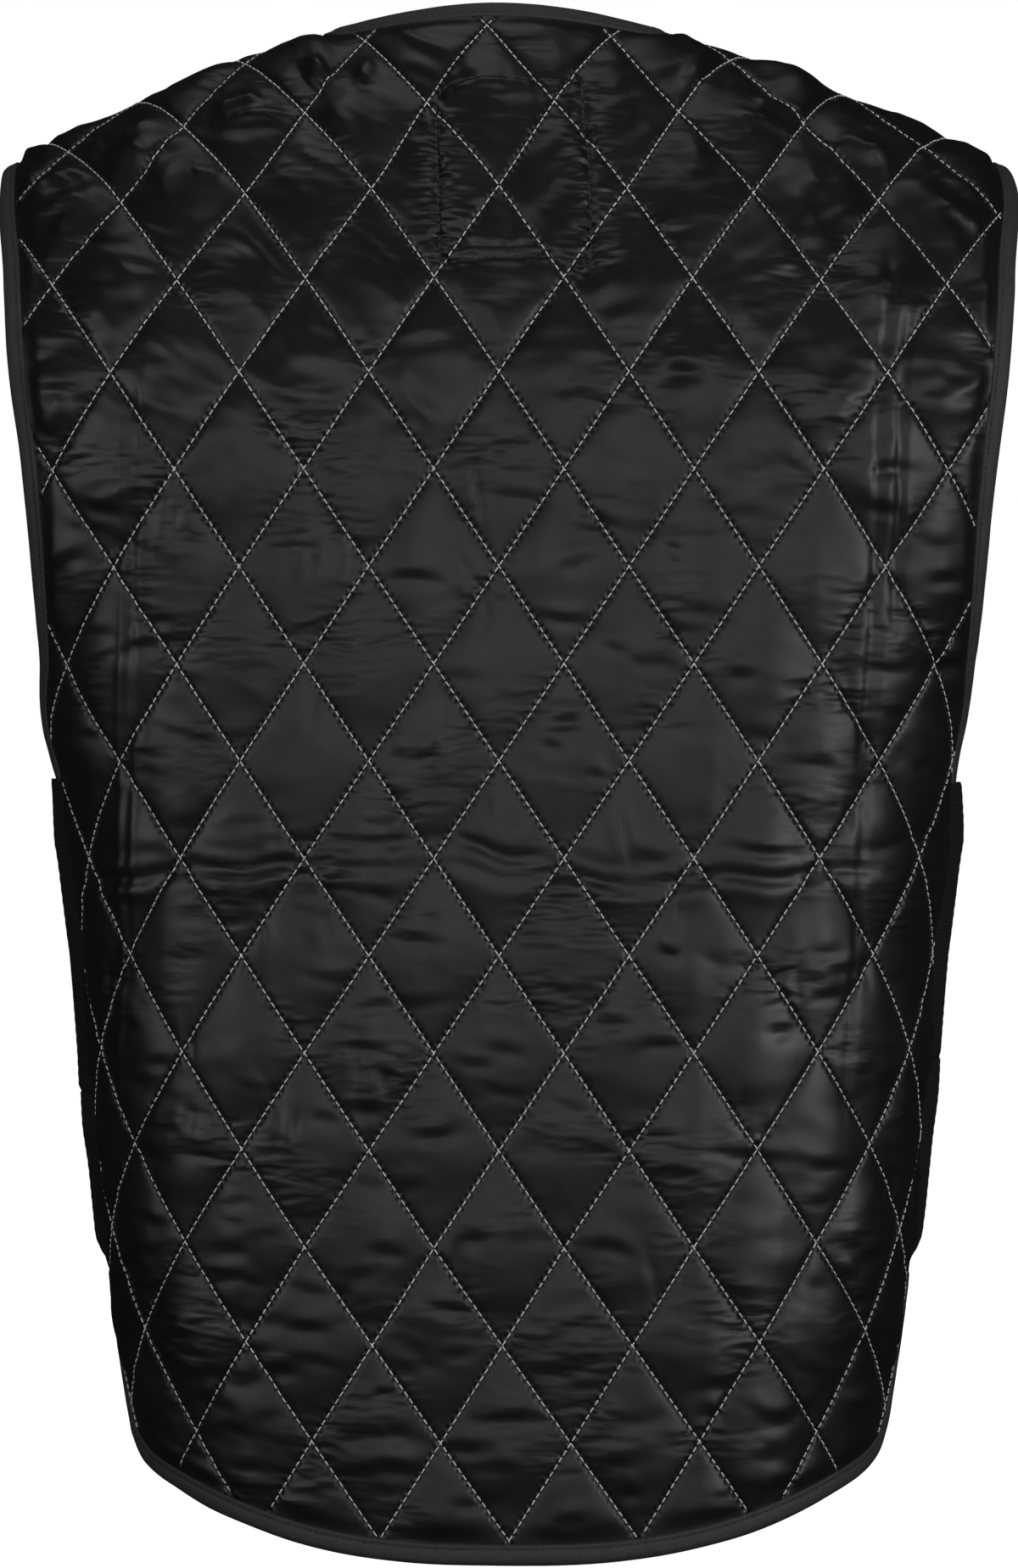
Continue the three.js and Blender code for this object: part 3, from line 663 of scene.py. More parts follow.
def crest_relief(points, places, width, height):
    """A rounded crest along a line, drawn as seen from behind in millimetres across and up."""
    path = spaced(places, 2.0)
    low, high = path.min(0) - 4 * width, path.max(0) + 4 * width
    seen = points[:, [0, 2]]
    close = (seen > low).all(1) & (seen < high).all(1)
    found = np.zeros(len(points))
    if close.any():
        gap = np.linalg.norm(seen[close][:, None] - path[None], axis=2)
        best = gap.argmin(1)
        share = best / (len(path) - 1)
        taper = smoothstep(share, -0.1, 0.3) * smoothstep(-share, -1.1, -0.7)
        found[close] = height * taper * bell(gap.min(1) / width)
    return found


# Crests of the crumpled shoulders: places across and up, width and height of the crest
BACK_CRESTS = [
    ([(193, -33), (184, -25), (170, -21), (163, -19), (154, -15)], 3.4, 2.2),
    ([(216, -53), (207, -45), (195, -40), (187, -42)], 3.4, 2.2),
    ([(217, -62), (205, -59), (192, -55), (187, -51)], 3.0, 1.8),
    ([(170, -33), (161, -33), (155, -28), (144, -24)], 3.2, 2.2),
    ([(133, -13), (121, -9), (110, -7)], 3.2, 2.0),
    ([(135, -19), (125, -17), (115, -16), (99, -14)], 2.8, 1.8),
    ([(90, 1), (84, 6), (81, 8)], 6.0, 2.6),
    ([(66, -1), (63, 9), (59, 11)], 3.6, 1.6),
    ([(141, -42), (129, -41)], 3.0, 1.2),
    ([(-191, -36), (-182, -27), (-168, -23), (-156, -19)], 3.4, 2.2),
    ([(-214, -56), (-205, -47), (-192, -43), (-183, -46)], 3.4, 2.2),
    ([(-216, -66), (-203, -62), (-190, -57)], 3.0, 1.8),
    ([(-172, -36), (-160, -34), (-151, -29), (-142, -27)], 3.2, 2.0),
    ([(-136, -15), (-123, -10), (-108, -8)], 3.2, 2.0),
    ([(-130, -23), (-118, -19), (-101, -17)], 2.8, 1.8),
    ([(-88, 2), (-80, 8)], 5.5, 2.2),
    ([(28, -4), (5, 0), (-26, 1)], 2.8, 1.5),
    ([(28, -79), (4, -77), (-18, -76)], 2.6, 1.3),
]


def crease_share(u, v):
    """How busy the back's cloth is at a place: most near the sides and the hem."""
    share = 0.30 + 0.5 * smoothstep(np.abs(u), 80, 190) + 0.35 * smoothstep(-v, 200, 400)
    return share * (1 - 0.6 * smoothstep(v, 20, 120))


def plain_share(along, u):
    """Share of the upright creases kept at a place, whichever level it is at."""
    return 0.5 - 0.3 * (abs(u) > 150)


# Long creases from the package, top to bottom: place across, depth, top and bottom
PACKAGE_CREASES = [
    (168, -0.9, 60, -260),
    (176, -0.8, 20, -330),
    (-160, 1.3, 90, -180),
    (-170, 1.5, 70, -120),
    (-164, 0.7, -60, -330),
]


def level_band(u, v):
    """Package crease across the back below its middle, broken up along its length."""
    line = -201 + 4 * np.sin(u / 46) + 3 * value_noise(u / 24, 0 * u, SEED + 41)
    broken = smoothstep(value_noise(u / 30, 0 * u + 5, SEED + 42), -0.5, 0.4)
    first = bell((v - line) / 2.6) - 0.5 * bell((v - line + 7) / 4)
    second = bell((v - line - 10 - 2 * np.sin(u / 21)) / 2.8)
    return -(1.7 * first * (0.35 + 0.65 * broken) + 1.3 * second * (1 - 0.6 * broken))


def back_relief(u, v, points):
    """Outward height of the back's cloth over its stitched surface."""
    shoulder = smoothstep(v, -60, 40)
    low = smoothstep(-v, 180, 420)
    side = smoothstep(np.abs(u), 90, 210)
    puffed = pillow(u, v)
    height = PUFF * (1 + 0.35 * shoulder) * puffed
    height *= 1 + 0.25 * value_noise(u / 37, v / 29, SEED + 10)
    busy = 0.25 + 0.8 * side + 0.5 * low
    height += 0.55 * busy * value_noise(u / 21, v / 8.5, SEED + 20) * puffed**0.4
    height += 0.35 * value_noise(u / 7.5, v / 60, SEED + 25) * puffed * (1 - 0.5 * side)
    folded = crumple(u, v, SEED + 30, 36, 28)
    tight = crumple(u, v - 0.45 * np.abs(u), SEED + 33, 30, 14)
    height += (0.45 + 1.2 * shoulder) * folded * (0.3 + 0.7 * puffed)
    height += 1.3 * shoulder * tight * (0.3 + 0.7 * puffed)
    for row in BACK_FOLDS:
        height += fold_row(points, row) * (0.25 + 0.75 * puffed)
    for crest in BACK_CRESTS:
        height += 2.1 * crest_relief(points, *crest) * (0.5 + 0.5 * puffed)
    height += level_band(u, v) * (0.6 + 0.4 * puffed)
    height += scattered_creases(u, v, SEED + 35, 900, crease_share) * (0.35 + 0.65 * puffed)
    height += scattered_creases(v + 150, u, SEED + 36, 200, plain_share) * (0.4 + 0.6 * puffed)
    for crease, deep, top, bottom in PACKAGE_CREASES:
        line = crease - 0.05 * (v + 100) + 2 * value_noise(v / 60, 0 * v, SEED + 44)
        along = smoothstep(-v, -top, 40 - top) * smoothstep(v, bottom, bottom + 60)
        height -= deep * bell((u - line) / 2.3) * along
    for number, path in enumerate(patch_paths):
        height += path_relief(u, v, path, 2.0, 0.9, 6.5, 7.0, SEED + 80 + number)
    return height


def front_relief(u, v, points):
    """Outward height of a front's cloth over its stitched surface."""
    shoulder = smoothstep(v, -60, 40)
    puffed = pillow(u, v)
    height = PUFF * puffed * (1 + 0.22 * value_noise(u / 37, v / 29, SEED + 50))
    height += 0.35 * value_noise(u / 17, v / 6.5, SEED + 60) * puffed**0.4
    folded = crumple(u, v, SEED + 70, 34, 27)
    height += (0.3 + 0.8 * shoulder) * folded * (0.35 + 0.65 * puffed)
    return height


def pinched(height, bound, seamed):
    """Relief that dies out towards the bound edges, and is low along the shoulder seam."""
    share = smoothstep(bound, 1.0, 9.0)
    close = 0.25 + 0.75 * smoothstep(seamed, 0.0, 15.0)
    return height * share * close - 0.25 * (1 - share)


# Meshes


def add_object(name, data):
    made = bpy.data.objects.new(name, data)
    bpy.context.scene.collection.objects.link(made)
    return made


def add_uv(mesh, name, places, triangles):
    layer = mesh.uv_layers.new(name=name)
    layer.data.foreach_set("uv", np.asarray(places, np.float32)[triangles.ravel()].ravel())


def make_mesh(name, points, triangles, material, uv=None, smooth=True):
    """A mesh object from points in millimetres and triangles. uv holds a place for each point."""
    mesh = bpy.data.meshes.new(name)
    triangles = np.asarray(triangles, np.int32)
    mesh.vertices.add(len(points))
    mesh.vertices.foreach_set("co", (np.asarray(points) * MM).astype(np.float32).ravel())
    mesh.loops.add(triangles.size)
    mesh.loops.foreach_set("vertex_index", triangles.ravel())
    mesh.polygons.add(len(triangles))
    mesh.polygons.foreach_set("loop_start", np.arange(0, triangles.size, 3, dtype=np.int32))
    if uv is not None:
        add_uv(mesh, "flat", uv, triangles)
    mesh.update(calc_edges=True)
    mesh.polygons.foreach_set("use_smooth", np.full(len(triangles), smooth))
    mesh.validate()
    mesh.materials.append(material)
    return add_object(name, mesh)


def bound_depth(flat, lines):
    """Distance of flat places from the nearest bound edge."""
    found = np.full(len(flat), 1e9)
    places = np.concatenate(lines)
    for start in range(0, len(flat), 4000):
        part = flat[start : start + 4000]
        gap = ((part[:, None] - places[None]) ** 2).sum(2).min(1)
        found[start : start + 4000] = np.sqrt(gap)
    return found


class Panel:
    """A quilted panel: a fine grid along the quilting lines, cut to an outline."""

    LINING_SPLITS = 3
    KEEP = 1.1
    SNAP = 0.45

    def __init__(self, face, outline, tucked, bound, splits, relief):
        self.face = face
        self.outline = outline
        self.tucked = tucked
        self.step_u = DIAMOND_WIDTH / 4 / splits
        self.step_v = DIAMOND_HEIGHT / 4 / splits
        self.splits = splits
        low, high = tucked.min(0), tucked.max(0)
        self.first_column = math.floor((low[0] - QUILT_SHIFT) / self.step_u) - 2
        self.first_row = math.floor((low[1] - FIRST_ROW_RISE) / self.step_v) - 2
        columns = math.ceil((high[0] - low[0] + QUILT_SHIFT) / self.step_u) + 5
        rows = math.ceil((high[1] - low[1]) / self.step_v) + 5
        i, j = np.meshgrid(np.arange(columns), np.arange(rows))
        v = FIRST_ROW_RISE + (self.first_row + j) * self.step_v
        u = (self.first_column + i) * self.step_u + quilt_shift(v)
        self.shape = u.shape
        flat = np.stack([u.ravel(), v.ravel()], axis=1)
        depth, nearest = depth_inside(flat, tucked)
        kept = depth > -self.KEEP * math.hypot(self.step_u, self.step_v)
        close = kept & (depth < self.SNAP * self.step_u)
        flat[close] = nearest[close]
        self.flat = flat
        height = relief(*flat.T, face.at(*flat.T)[0])
        across = np.linspace(face.LOW_U, -face.LOW_U, 131)
        seam = np.interp(flat[:, 0], across, face.seam_arc(across)) - flat[:, 1]
        self.height = pinched(height, bound_depth(flat, bound), seam)
        self.triangles = self.cut(kept, depth)

    def cut(self, kept, depth):
        rows, columns = self.shape
        index = np.arange(rows * columns).reshape(rows, columns)
        a, b = index[:-1, :-1].ravel(), index[:-1, 1:].ravel()
        c, d = index[1:, 1:].ravel(), index[1:, :-1].ravel()
        i, j = np.meshgrid(np.arange(columns - 1), np.arange(rows - 1))
        count = self.first_column + i.ravel() + self.first_row + j.ravel() + 1
        falling = count % (4 * self.splits) == 0
        first = np.where(falling[:, None], np.stack([a, b, d], 1), np.stack([a, b, c], 1))
        second = np.where(falling[:, None], np.stack([b, c, d], 1), np.stack([a, c, d], 1))
        triangles = np.concatenate([first, second])
        inside = kept[triangles].all(1) & (depth[triangles].max(1) > 0)
        triangles = triangles[inside]
        corners = self.flat[triangles]
        run, rise = corners[:, 1] - corners[:, 0], corners[:, 2] - corners[:, 0]
        area = run[:, 0] * rise[:, 1] - run[:, 1] * rise[:, 0]
        return triangles[area > 0.02 * self.step_u * self.step_v]

    def height_at(self, u, v):
        """Height of the made cloth between its grid's points."""
        across = (u - quilt_shift(v)) / self.step_u - self.first_column
        up = (v - FIRST_ROW_RISE) / self.step_v - self.first_row
        i = np.floor(across + 1e-6).astype(int)
        j = np.floor(up + 1e-6).astype(int)
        x, y = across - i, up - j
        grid = self.height.reshape(self.shape)
        low = grid[j, i] * (1 - x) + grid[j, i + 1] * x
        high = grid[j + 1, i] * (1 - x) + grid[j + 1, i + 1] * x
        return low * (1 - y) + high * y

    def mesh(self, name, material):
        used, triangles = np.unique(self.triangles, return_inverse=True)
        triangles = triangles.reshape(-1, 3)
        flat = self.flat[used]
        outer = self.face.warp(*flat.T, self.height[used])
        directed = np.concatenate([triangles[:, pair] for pair in ([0, 1], [1, 2], [2, 0])])
        edges = np.sort(directed, axis=1)
        _, inverse, uses = np.unique(edges, axis=0, return_inverse=True, return_counts=True)
        rim = directed[uses[inverse.ravel()] == 1]
        around, ends = np.unique(rim, return_inverse=True)
        ends = ends.reshape(-1, 2)
        lining_flat, lining_faces = self.lining(flat[around], ends)
        bound = smoothstep(bound_depth(lining_flat, [self.outline]), 1.0, 11.0)
        lining = -CLOTH_WALL + 0.5 - pillow(*lining_flat.T) * bound
        inner = self.face.warp(*lining_flat.T, lining)
        count = len(used)
        walls = quads(rim[:, 1], rim[:, 0], *(ends.T + count))
        faces = np.concatenate([triangles, lining_faces[:, ::-1] + count, walls])
        if self.face.facing > 0:
            faces = faces[:, ::-1]
        flat = np.concatenate([flat, lining_flat])
        made = make_mesh(name, np.concatenate([outer, inner]), faces, material, uv=flat * MM)
        add_uv(made.data, "quilt", np.stack(quilt_places(*flat.T), axis=1), faces)
        return made

    def lining(self, rim, ends):
        """Coarse inner side of the cloth that ends in the same rim as the outer one."""
        low, high = rim.min(0), rim.max(0)
        step_u = DIAMOND_WIDTH / 4 / self.LINING_SPLITS
        step_v = DIAMOND_HEIGHT / 4 / self.LINING_SPLITS
        us, vs = np.meshgrid(
            np.arange(math.floor(low[0] / step_u), math.ceil(high[0] / step_u)) * step_u,
            np.arange(math.floor(low[1] / step_v), math.ceil(high[1] / step_v)) * step_v,
        )
        vs = vs + FIRST_ROW_RISE % step_v
        us = us + quilt_shift(vs)
        inside = np.stack([us.ravel(), vs.ravel()], 1)
        inside = inside[depth_inside(inside, self.tucked)[0] > step_u]
        places = np.concatenate([rim, inside])
        made = delaunay_2d_cdt(
            [Vector(place) for place in places], [tuple(e) for e in ends.tolist()], [], 1, 1e-4
        )
        old = np.array([group[0] if group else -1 for group in made[3]])
        faces = old[np.array(made[2])]
        faces = faces[(faces >= 0).all(1)]
        return places, faces


# Rings of a stitch, as shares of its length and radius: place along it, size and lift
THREAD_RINGS = [
    (-0.5, 0.35, -0.9),
    (-0.38, 0.95, 0.0),
    (0.0, 1.0, 0.3),
    (0.38, 0.95, 0.0),
    (0.5, 0.35, -0.9),
]
THREAD_SIDES = 6
EDGE_MARGIN = 0.6


def thread_mesh(name, centres, directions, outwards, lengths, radius, material):
    """Many short stitches as one mesh: rounded threads that dip into the cloth at both ends."""
    count = len(centres)
    across = np.cross(directions, outwards)
    angle = np.arange(THREAD_SIDES) * 2 * math.pi / THREAD_SIDES
    turn = angle[None, :, None]
    circle = np.cos(turn) * across[:, None] + np.sin(turn) * outwards[:, None]
    rings = []
    for along, size, lift in THREAD_RINGS:
        middle = centres + directions * (along * lengths)[:, None]
        middle = middle + outwards * (lift * radius)
        rings.append(middle[:, None] + size * radius * circle)
    points = np.stack(rings, axis=1).reshape(-1, 3)
    faces = prism_faces(len(THREAD_RINGS), THREAD_SIDES)
    offsets = np.arange(count)[:, None, None] * len(THREAD_RINGS) * THREAD_SIDES
    along = np.repeat([row[0] for row in THREAD_RINGS], THREAD_SIDES)
    around = np.tile(angle, len(THREAD_RINGS)) / (2 * math.pi)
    uv = np.tile(np.stack([along, around], 1), (count, 1))
    return make_mesh(name, points, (faces[None] + offsets).reshape(-1, 3), material, uv=uv)


def quilting_stitches(panel, name, material):
    """Stitches along both families of quilting lines, inside the panel's outline."""
    low, high = panel.outline.min(0), panel.outline.max(0)
    first, last = (np.array([low[1], high[1]]) - FIRST_ROW_RISE) / (DIAMOND_HEIGHT / 4)
    steps = np.linspace(first - 4, last + 4, 400)
    v = FIRST_ROW_RISE + steps * DIAMOND_HEIGHT / 4
    starts, ends = [], []
    rng = np.random.RandomState(SEED + 90)
    for family in (1, -1):
        for line in range(-30, 31):
            column = 4 * line - family * steps
            u = column * DIAMOND_WIDTH / 4 + quilt_shift(v)
            path = np.stack([u, v], axis=1)
            arc = arc_of(path)
            begin = np.arange(rng.uniform(0, STITCH_PITCH), arc[-1] - STITCH_PITCH, STITCH_PITCH)
            begin = begin + rng.uniform(-0.12, 0.12, len(begin))
            starts.append(read_along(path, arc, begin))
            ends.append(read_along(path, arc, begin + STITCH_LENGTH))
    starts, ends = np.concatenate(starts), np.concatenate(ends)
    inside = (starts > low).all(1) & (starts < high).all(1)
    starts, ends = starts[inside], ends[inside]
    depths = [depth_inside(places, panel.outline)[0] for places in (starts, ends)]
    enough = np.min(depths, axis=0) > EDGE_MARGIN
    return laid_stitches(name, panel, starts[enough], ends[enough], THREAD_RADIUS, material)


def laid_stitches(name, panel, starts, ends, radius, material):
    """Stitches that lie on a panel's cloth, between flat places."""
    middle = (starts + ends) / 2
    first, last, centres = (
        panel.face.warp(*places.T, panel.height_at(*places.T))
        for places in (starts, ends, middle)
    )
    directions, outwards = thread_frames(last - first, panel.face.at(*middle.T)[1])
    lengths = np.linalg.norm(last - first, axis=1)
    centres = centres + outwards * 0.5 * radius
    return thread_mesh(name, centres, directions, outwards, lengths, radius, material)


def thread_frames(runs, outwards):
    """Directions along threads, and out of the cloth square to them."""
    directions = unit(runs)
    square = outwards - directions * (outwards * directions).sum(1)[:, None]
    return directions, unit(square)


# Frames along an edge, and strips that follow them


def edge_frames(face, places, turn):
    """Points of the cloth's edge, with the directions off the edge and out of the cloth."""
    points, outward = face.at(*places.T)
    near = face.at(*(places - turn * off_line(places)).T)[0]
    return np.stack([points, unit(points - near), outward])


def joined_frames(*parts):
    """Frames of several edges in a row, evened out where they meet."""
    kept = [parts[0]] + [part[:, 1:] for part in parts[1:]]
    frames = np.concatenate(kept, axis=1)
    for _ in range(3):
        middle = (frames[:, :-2] + 2 * frames[:, 1:-1] + frames[:, 2:]) / 4
        frames = np.concatenate([frames[:, :1], middle, frames[:, -1:]], axis=1)
    frames[1:] = unit(frames[1:])
    return frames


def strip_mesh(name, frames, profile, material):
    """Closed strip along frames. profile(arc) gives (away, outward) for each ring's points."""
    points, away, outward = frames
    arc = arc_of(points)
    ring = profile(arc)
    placed = points[:, None] + away[:, None] * ring[..., :1] + outward[:, None] * ring[..., 1:]
    rows, size = placed.shape[:2]
    placed = placed.reshape(-1, 3)
    faces = facing_out(placed, prism_faces(rows, size))
    around = arc_of(ring[0])
    uv = np.stack(np.broadcast_arrays(arc[:, None] * MM, around[None] * MM), -1).reshape(-1, 2)
    return make_mesh(name, placed, faces, material, uv=uv)


# Folded binding tape seen end on: away from the cloth's edge, out of the cloth
BINDING_TOP = [
    (-0.2, -0.30),
    (0.1, 0.35),
    (0.7, 0.75),
    (1.6, 0.62),
    (2.1, 0.40),
    (2.7, 0.70),
    (4.4, 1.05),
    (6.4, 1.0),
    (8.0, 0.55),
    (9.0, -0.55),
    (9.3, -1.6),
]
BINDING_MIDDLE = -1.6
BINDING_STITCH = 2.1
BINDING_STITCH_LIFT = 0.52


def binding_profile(seed):
    """Rings of a binding: its two faces are alike, and the tape ripples a little along it."""
    top = np.array(BINDING_TOP)
    bottom = top[-2::-1] * (1, -1) + (0, 2 * BINDING_MIDDLE)
    ring = np.concatenate([top, bottom])

    def rings(arc):
        made = np.repeat(ring[None], len(arc), axis=0)
        ripple = value_noise(arc / 5.5, 0 * arc + 0.5, seed)
        wave = value_noise(arc / 23, 0 * arc + 0.5, seed + 1)
        raised = np.where(ring[:, 1] > BINDING_MIDDLE, 1, -1)
        body = bell((ring[:, 0] - 4.8) / 3.0)
        made[..., 1] += 0.28 * ripple[:, None] * raised * body
        made[..., 0] += 0.35 * wave[:, None] * smoothstep(ring[:, 0], 3, 9)
        return made

    return rings


def edge_stitches(name, frames, material):
    """The row of stitches along a binding."""
    points, off, outward = frames
    line = points + off * BINDING_STITCH + outward * BINDING_STITCH_LIFT
    arc = arc_of(line)
    begin = np.arange(EDGE_STITCH_PITCH, arc[-1] - EDGE_STITCH_PITCH, EDGE_STITCH_PITCH)
    first = read_along(line, arc, begin)
    last = read_along(line, arc, begin + EDGE_STITCH_LENGTH)
    lengths = np.linalg.norm(last - first, axis=1)
    outwards = read_along(outward, arc, begin + EDGE_STITCH_LENGTH / 2)
    directions, outwards = thread_frames(last - first, outwards)
    centres = (first + last) / 2
    return thread_mesh(name, centres, directions, outwards, lengths, EDGE_THREAD_RADIUS, material)


# Materials


def grey(value):
    return (value, value, value)


def start_material(name, colour, roughness, **constants):
    """A material with its node tree and its main shader, set to a plain colour and roughness."""
    material = bpy.data.materials.new(name)
    material.use_nodes = True
    tree = material.node_tree
    shader = tree.nodes["Principled BSDF"]
    shader.inputs["Base Color"].default_value = (*colour, 1)
    shader.inputs["Roughness"].default_value = roughness
    for key, value in constants.items():
        shader.inputs[key.replace("_", " ")].default_value = value
    return material, tree, shader


def add_node(tree, kind, values=(), **settings):
    node = tree.nodes.new(kind)
    for key, value in settings.items():
        setattr(node, key, value)
    for key, value in values:
        node.inputs[key].default_value = value
    return node


def scaled_uv(tree, scale, angle=0.0):
    """The flat cloth's own places, scaled and turned."""
    source = add_node(tree, "ShaderNodeUVMap", uv_map="flat")
    turned = [("Scale", (*scale, 1)), ("Rotation", (0, 0, angle))]
    mapping = add_node(tree, "ShaderNodeMapping", turned)
    tree.links.new(source.outputs["UV"], mapping.inputs["Vector"])
    return mapping.outputs["Vector"]


def add_noise(tree, vector, detail=2.0, roughness=0.5):
    values = [("Scale", 1.0), ("Detail", detail), ("Roughness", roughness)]
    noise = add_node(tree, "ShaderNodeTexNoise", values)
    tree.links.new(vector, noise.inputs["Vector"])
    return noise.outputs["Fac"]


def add_wave(tree, vector, distortion=0.0):
    """Even ribs, one for each unit along the vector's x."""
    values = [("Scale", math.pi / 10), ("Distortion", distortion), ("Detail", 1.0)]
    wave = add_node(tree, "ShaderNodeTexWave", values)
    tree.links.new(vector, wave.inputs["Vector"])
    return wave.outputs["Fac"]


def add_range(tree, value, low, high, from_low=0.0, from_high=1.0):
    values = [("From Min", from_low), ("From Max", from_high), ("To Min", low), ("To Max", high)]
    node = add_node(tree, "ShaderNodeMapRange", values)
    tree.links.new(value, node.inputs["Value"])
    return node.outputs["Result"]


def add_bump(tree, height, distance, before=None):
    bump = add_node(tree, "ShaderNodeBump", [("Strength", 1.0), ("Distance", distance)])
    tree.links.new(height, bump.inputs["Height"])
    if before is not None:
        tree.links.new(before, bump.inputs["Normal"])
    return bump.outputs["Normal"]


def add_colour(tree, factor, low, high):
    mix = add_node(tree, "ShaderNodeMix", data_type="RGBA")
    mix.inputs["A"].default_value = (*low, 1)
    mix.inputs["B"].default_value = (*high, 1)
    tree.links.new(factor, mix.inputs["Factor"])
    return mix.outputs["Result"]


def add_math(tree, operation, first, second=None, third=None):
    node = add_node(tree, "ShaderNodeMath", operation=operation)
    for socket, value in zip(node.inputs, (first, second, third)):
        if isinstance(value, (int, float)):
            socket.default_value = value
        elif value is not None:
            tree.links.new(value, socket)
    return node.outputs["Value"]


def stitch_dents(tree):
    """Dents of the stitches on both families of lines, and 1 beside the lines, a half inside."""
    source = add_node(tree, "ShaderNodeUVMap", uv_map="quilt")
    split = add_node(tree, "ShaderNodeSeparateXYZ")
    tree.links.new(source.outputs["UV"], split.inputs["Vector"])
    dents, near = [], []
    for here, along in (("X", "Y"), ("Y", "X")):
        whole = add_math(tree, "ROUND", split.outputs[here])
        away = add_math(tree, "SUBTRACT", split.outputs[here], whole)
        distance = add_math(tree, "MULTIPLY", away, LINE_SPACING)
        square = add_math(tree, "MULTIPLY", distance, distance)
        hollow = add_math(tree, "EXPONENT", add_math(tree, "MULTIPLY", square, -0.45))
        turns = 2 * math.pi * DIAMOND_SIDE / STITCH_PITCH
        wave = add_math(tree, "SINE", add_math(tree, "MULTIPLY", split.outputs[along], turns))
        depth = add_math(tree, "MULTIPLY_ADD", wave, 0.35, 0.65)
        dents.append(add_math(tree, "MULTIPLY", add_math(tree, "MULTIPLY", hollow, depth), -1.0))
        near.append(add_math(tree, "EXPONENT", add_math(tree, "MULTIPLY", square, -0.012)))
    gather = add_math(tree, "MAXIMUM", near[0], near[1])
    return dents[0], dents[1], add_math(tree, "MULTIPLY_ADD", gather, 0.5, 0.5)


def line_puckers(tree, path):
    """Small ridges square to a straight sewn line, on both sides of it."""
    start, end = path[0] * MM, path[-1] * MM
    length = np.linalg.norm(end - start)
    run = (end - start) / length
    source = add_node(tree, "ShaderNodeUVMap", uv_map="flat")
    places = []
    for direction in ((run[0], run[1]), (-run[1], run[0])):
        dot = add_node(tree, "ShaderNodeVectorMath", operation="DOT_PRODUCT")
        tree.links.new(source.outputs["UV"], dot.inputs[0])
        dot.inputs[1].default_value = (*direction, 0)
        zero = -(start[0] * direction[0] + start[1] * direction[1])
        places.append(add_math(tree, "ADD", dot.outputs["Value"], float(zero)))
    along, off = places
    side = add_math(tree, "MULTIPLY", add_math(tree, "SIGN", off), 4.3)
    vector = add_node(tree, "ShaderNodeCombineXYZ")
    tree.links.new(add_math(tree, "MULTIPLY", along, 270.0), vector.inputs["X"])
    tree.links.new(add_math(tree, "MULTIPLY_ADD", off, 70.0, side), vector.inputs["Y"])
    waves = add_noise(tree, vector.outputs["Vector"], 0.0)
    waves = add_range(tree, waves, 0.0, 1.0, 0.3, 0.7)
    fall = add_math(tree, "MULTIPLY", add_math(tree, "ABSOLUTE", off), -170.0)
    fade = add_math(tree, "EXPONENT", fall)
    inner = add_range(tree, along, 0.0, 1.0, -0.003, 0.004)
    outer = add_range(tree, along, 1.0, 0.0, float(length) - 0.004, float(length) + 0.003)
    window = add_math(tree, "MULTIPLY", inner, outer)
    return add_math(tree, "MULTIPLY", add_math(tree, "MULTIPLY", waves, fade), window)


def satin_material():
    """Black satin twill: fine diagonal ribs, small puckers and a broad soft gloss."""
    material, tree, shader = start_material("satin", grey(0.006), 0.4, Specular_IOR_Level=0.2)
    first, second, gather = stitch_dents(tree)
    puckers = add_noise(tree, scaled_uv(tree, (55, 165)), 1.0, 0.5)
    ridges = add_range(tree, puckers, 0.0, 1.0, 0.35, 0.65)
    where = add_noise(tree, scaled_uv(tree, (17, 26)), 1.0)
    somewhere = add_range(tree, where, 0.0, 1.0, 0.47, 0.68)
    mask = add_math(tree, "MULTIPLY", somewhere, gather)
    normal = add_bump(tree, add_math(tree, "MULTIPLY", ridges, mask), 0.0007)
    for number in (0, 2):
        normal = add_bump(tree, line_puckers(tree, patch_paths[number]), 0.0026, normal)
    normal = add_bump(tree, add_math(tree, "ADD", first, second), 0.0007, normal)
    grain = add_noise(tree, scaled_uv(tree, (620, 900)), 1.0)
    normal = add_bump(tree, grain, 0.00004, normal)
    twill = add_wave(tree, scaled_uv(tree, (1350, 1350), math.radians(35)), 0.4)
    normal = add_bump(tree, twill, 0.00003, normal)
    tree.links.new(normal, shader.inputs["Normal"])
    patches = add_noise(tree, scaled_uv(tree, (24, 24)), 4.0, 0.6)
    colour = add_colour(tree, patches, (0.0030, 0.0030, 0.0031), (0.0060, 0.0060, 0.0061))
    tree.links.new(colour, shader.inputs["Base Color"])
    tree.links.new(add_range(tree, patches, 0.36, 0.46, 0.3, 0.7), shader.inputs["Roughness"])
    return material


def thread_material(name, colour, groove_shade):
    """Twisted sewing thread, with painted shade: its colour darkens in the grooves between the
    strands.
    """
    material, tree, shader = start_material(name, colour, 0.55)
    strands = add_wave(tree, scaled_uv(tree, (9, 3), math.radians(40)))
    tree.links.new(add_bump(tree, strands, 0.00008), shader.inputs["Normal"])
    # Painted shade: the colour goes darker where the strands' bump is low, in the grooves between
    # them.
    tree.links.new(add_colour(tree, strands, groove_shade, colour), shader.inputs["Base Color"])
    return material


def tape_material():
    """Matt woven binding tape."""
    material, tree, shader = start_material(
        "binding_tape", grey(0.012), 0.72, Specular_IOR_Level=0.35
    )
    ribs = add_wave(tree, scaled_uv(tree, (1100, 1100)), 0.3)
    normal = add_bump(tree, ribs, 0.00008)
    soft = add_noise(tree, scaled_uv(tree, (160, 420)), 3.0)
    normal = add_bump(tree, soft, 0.00022, normal)
    tree.links.new(normal, shader.inputs["Normal"])
    colour = add_colour(tree, soft, (0.010, 0.010, 0.0102), (0.020, 0.020, 0.0202))
    tree.links.new(colour, shader.inputs["Base Color"])
    return material


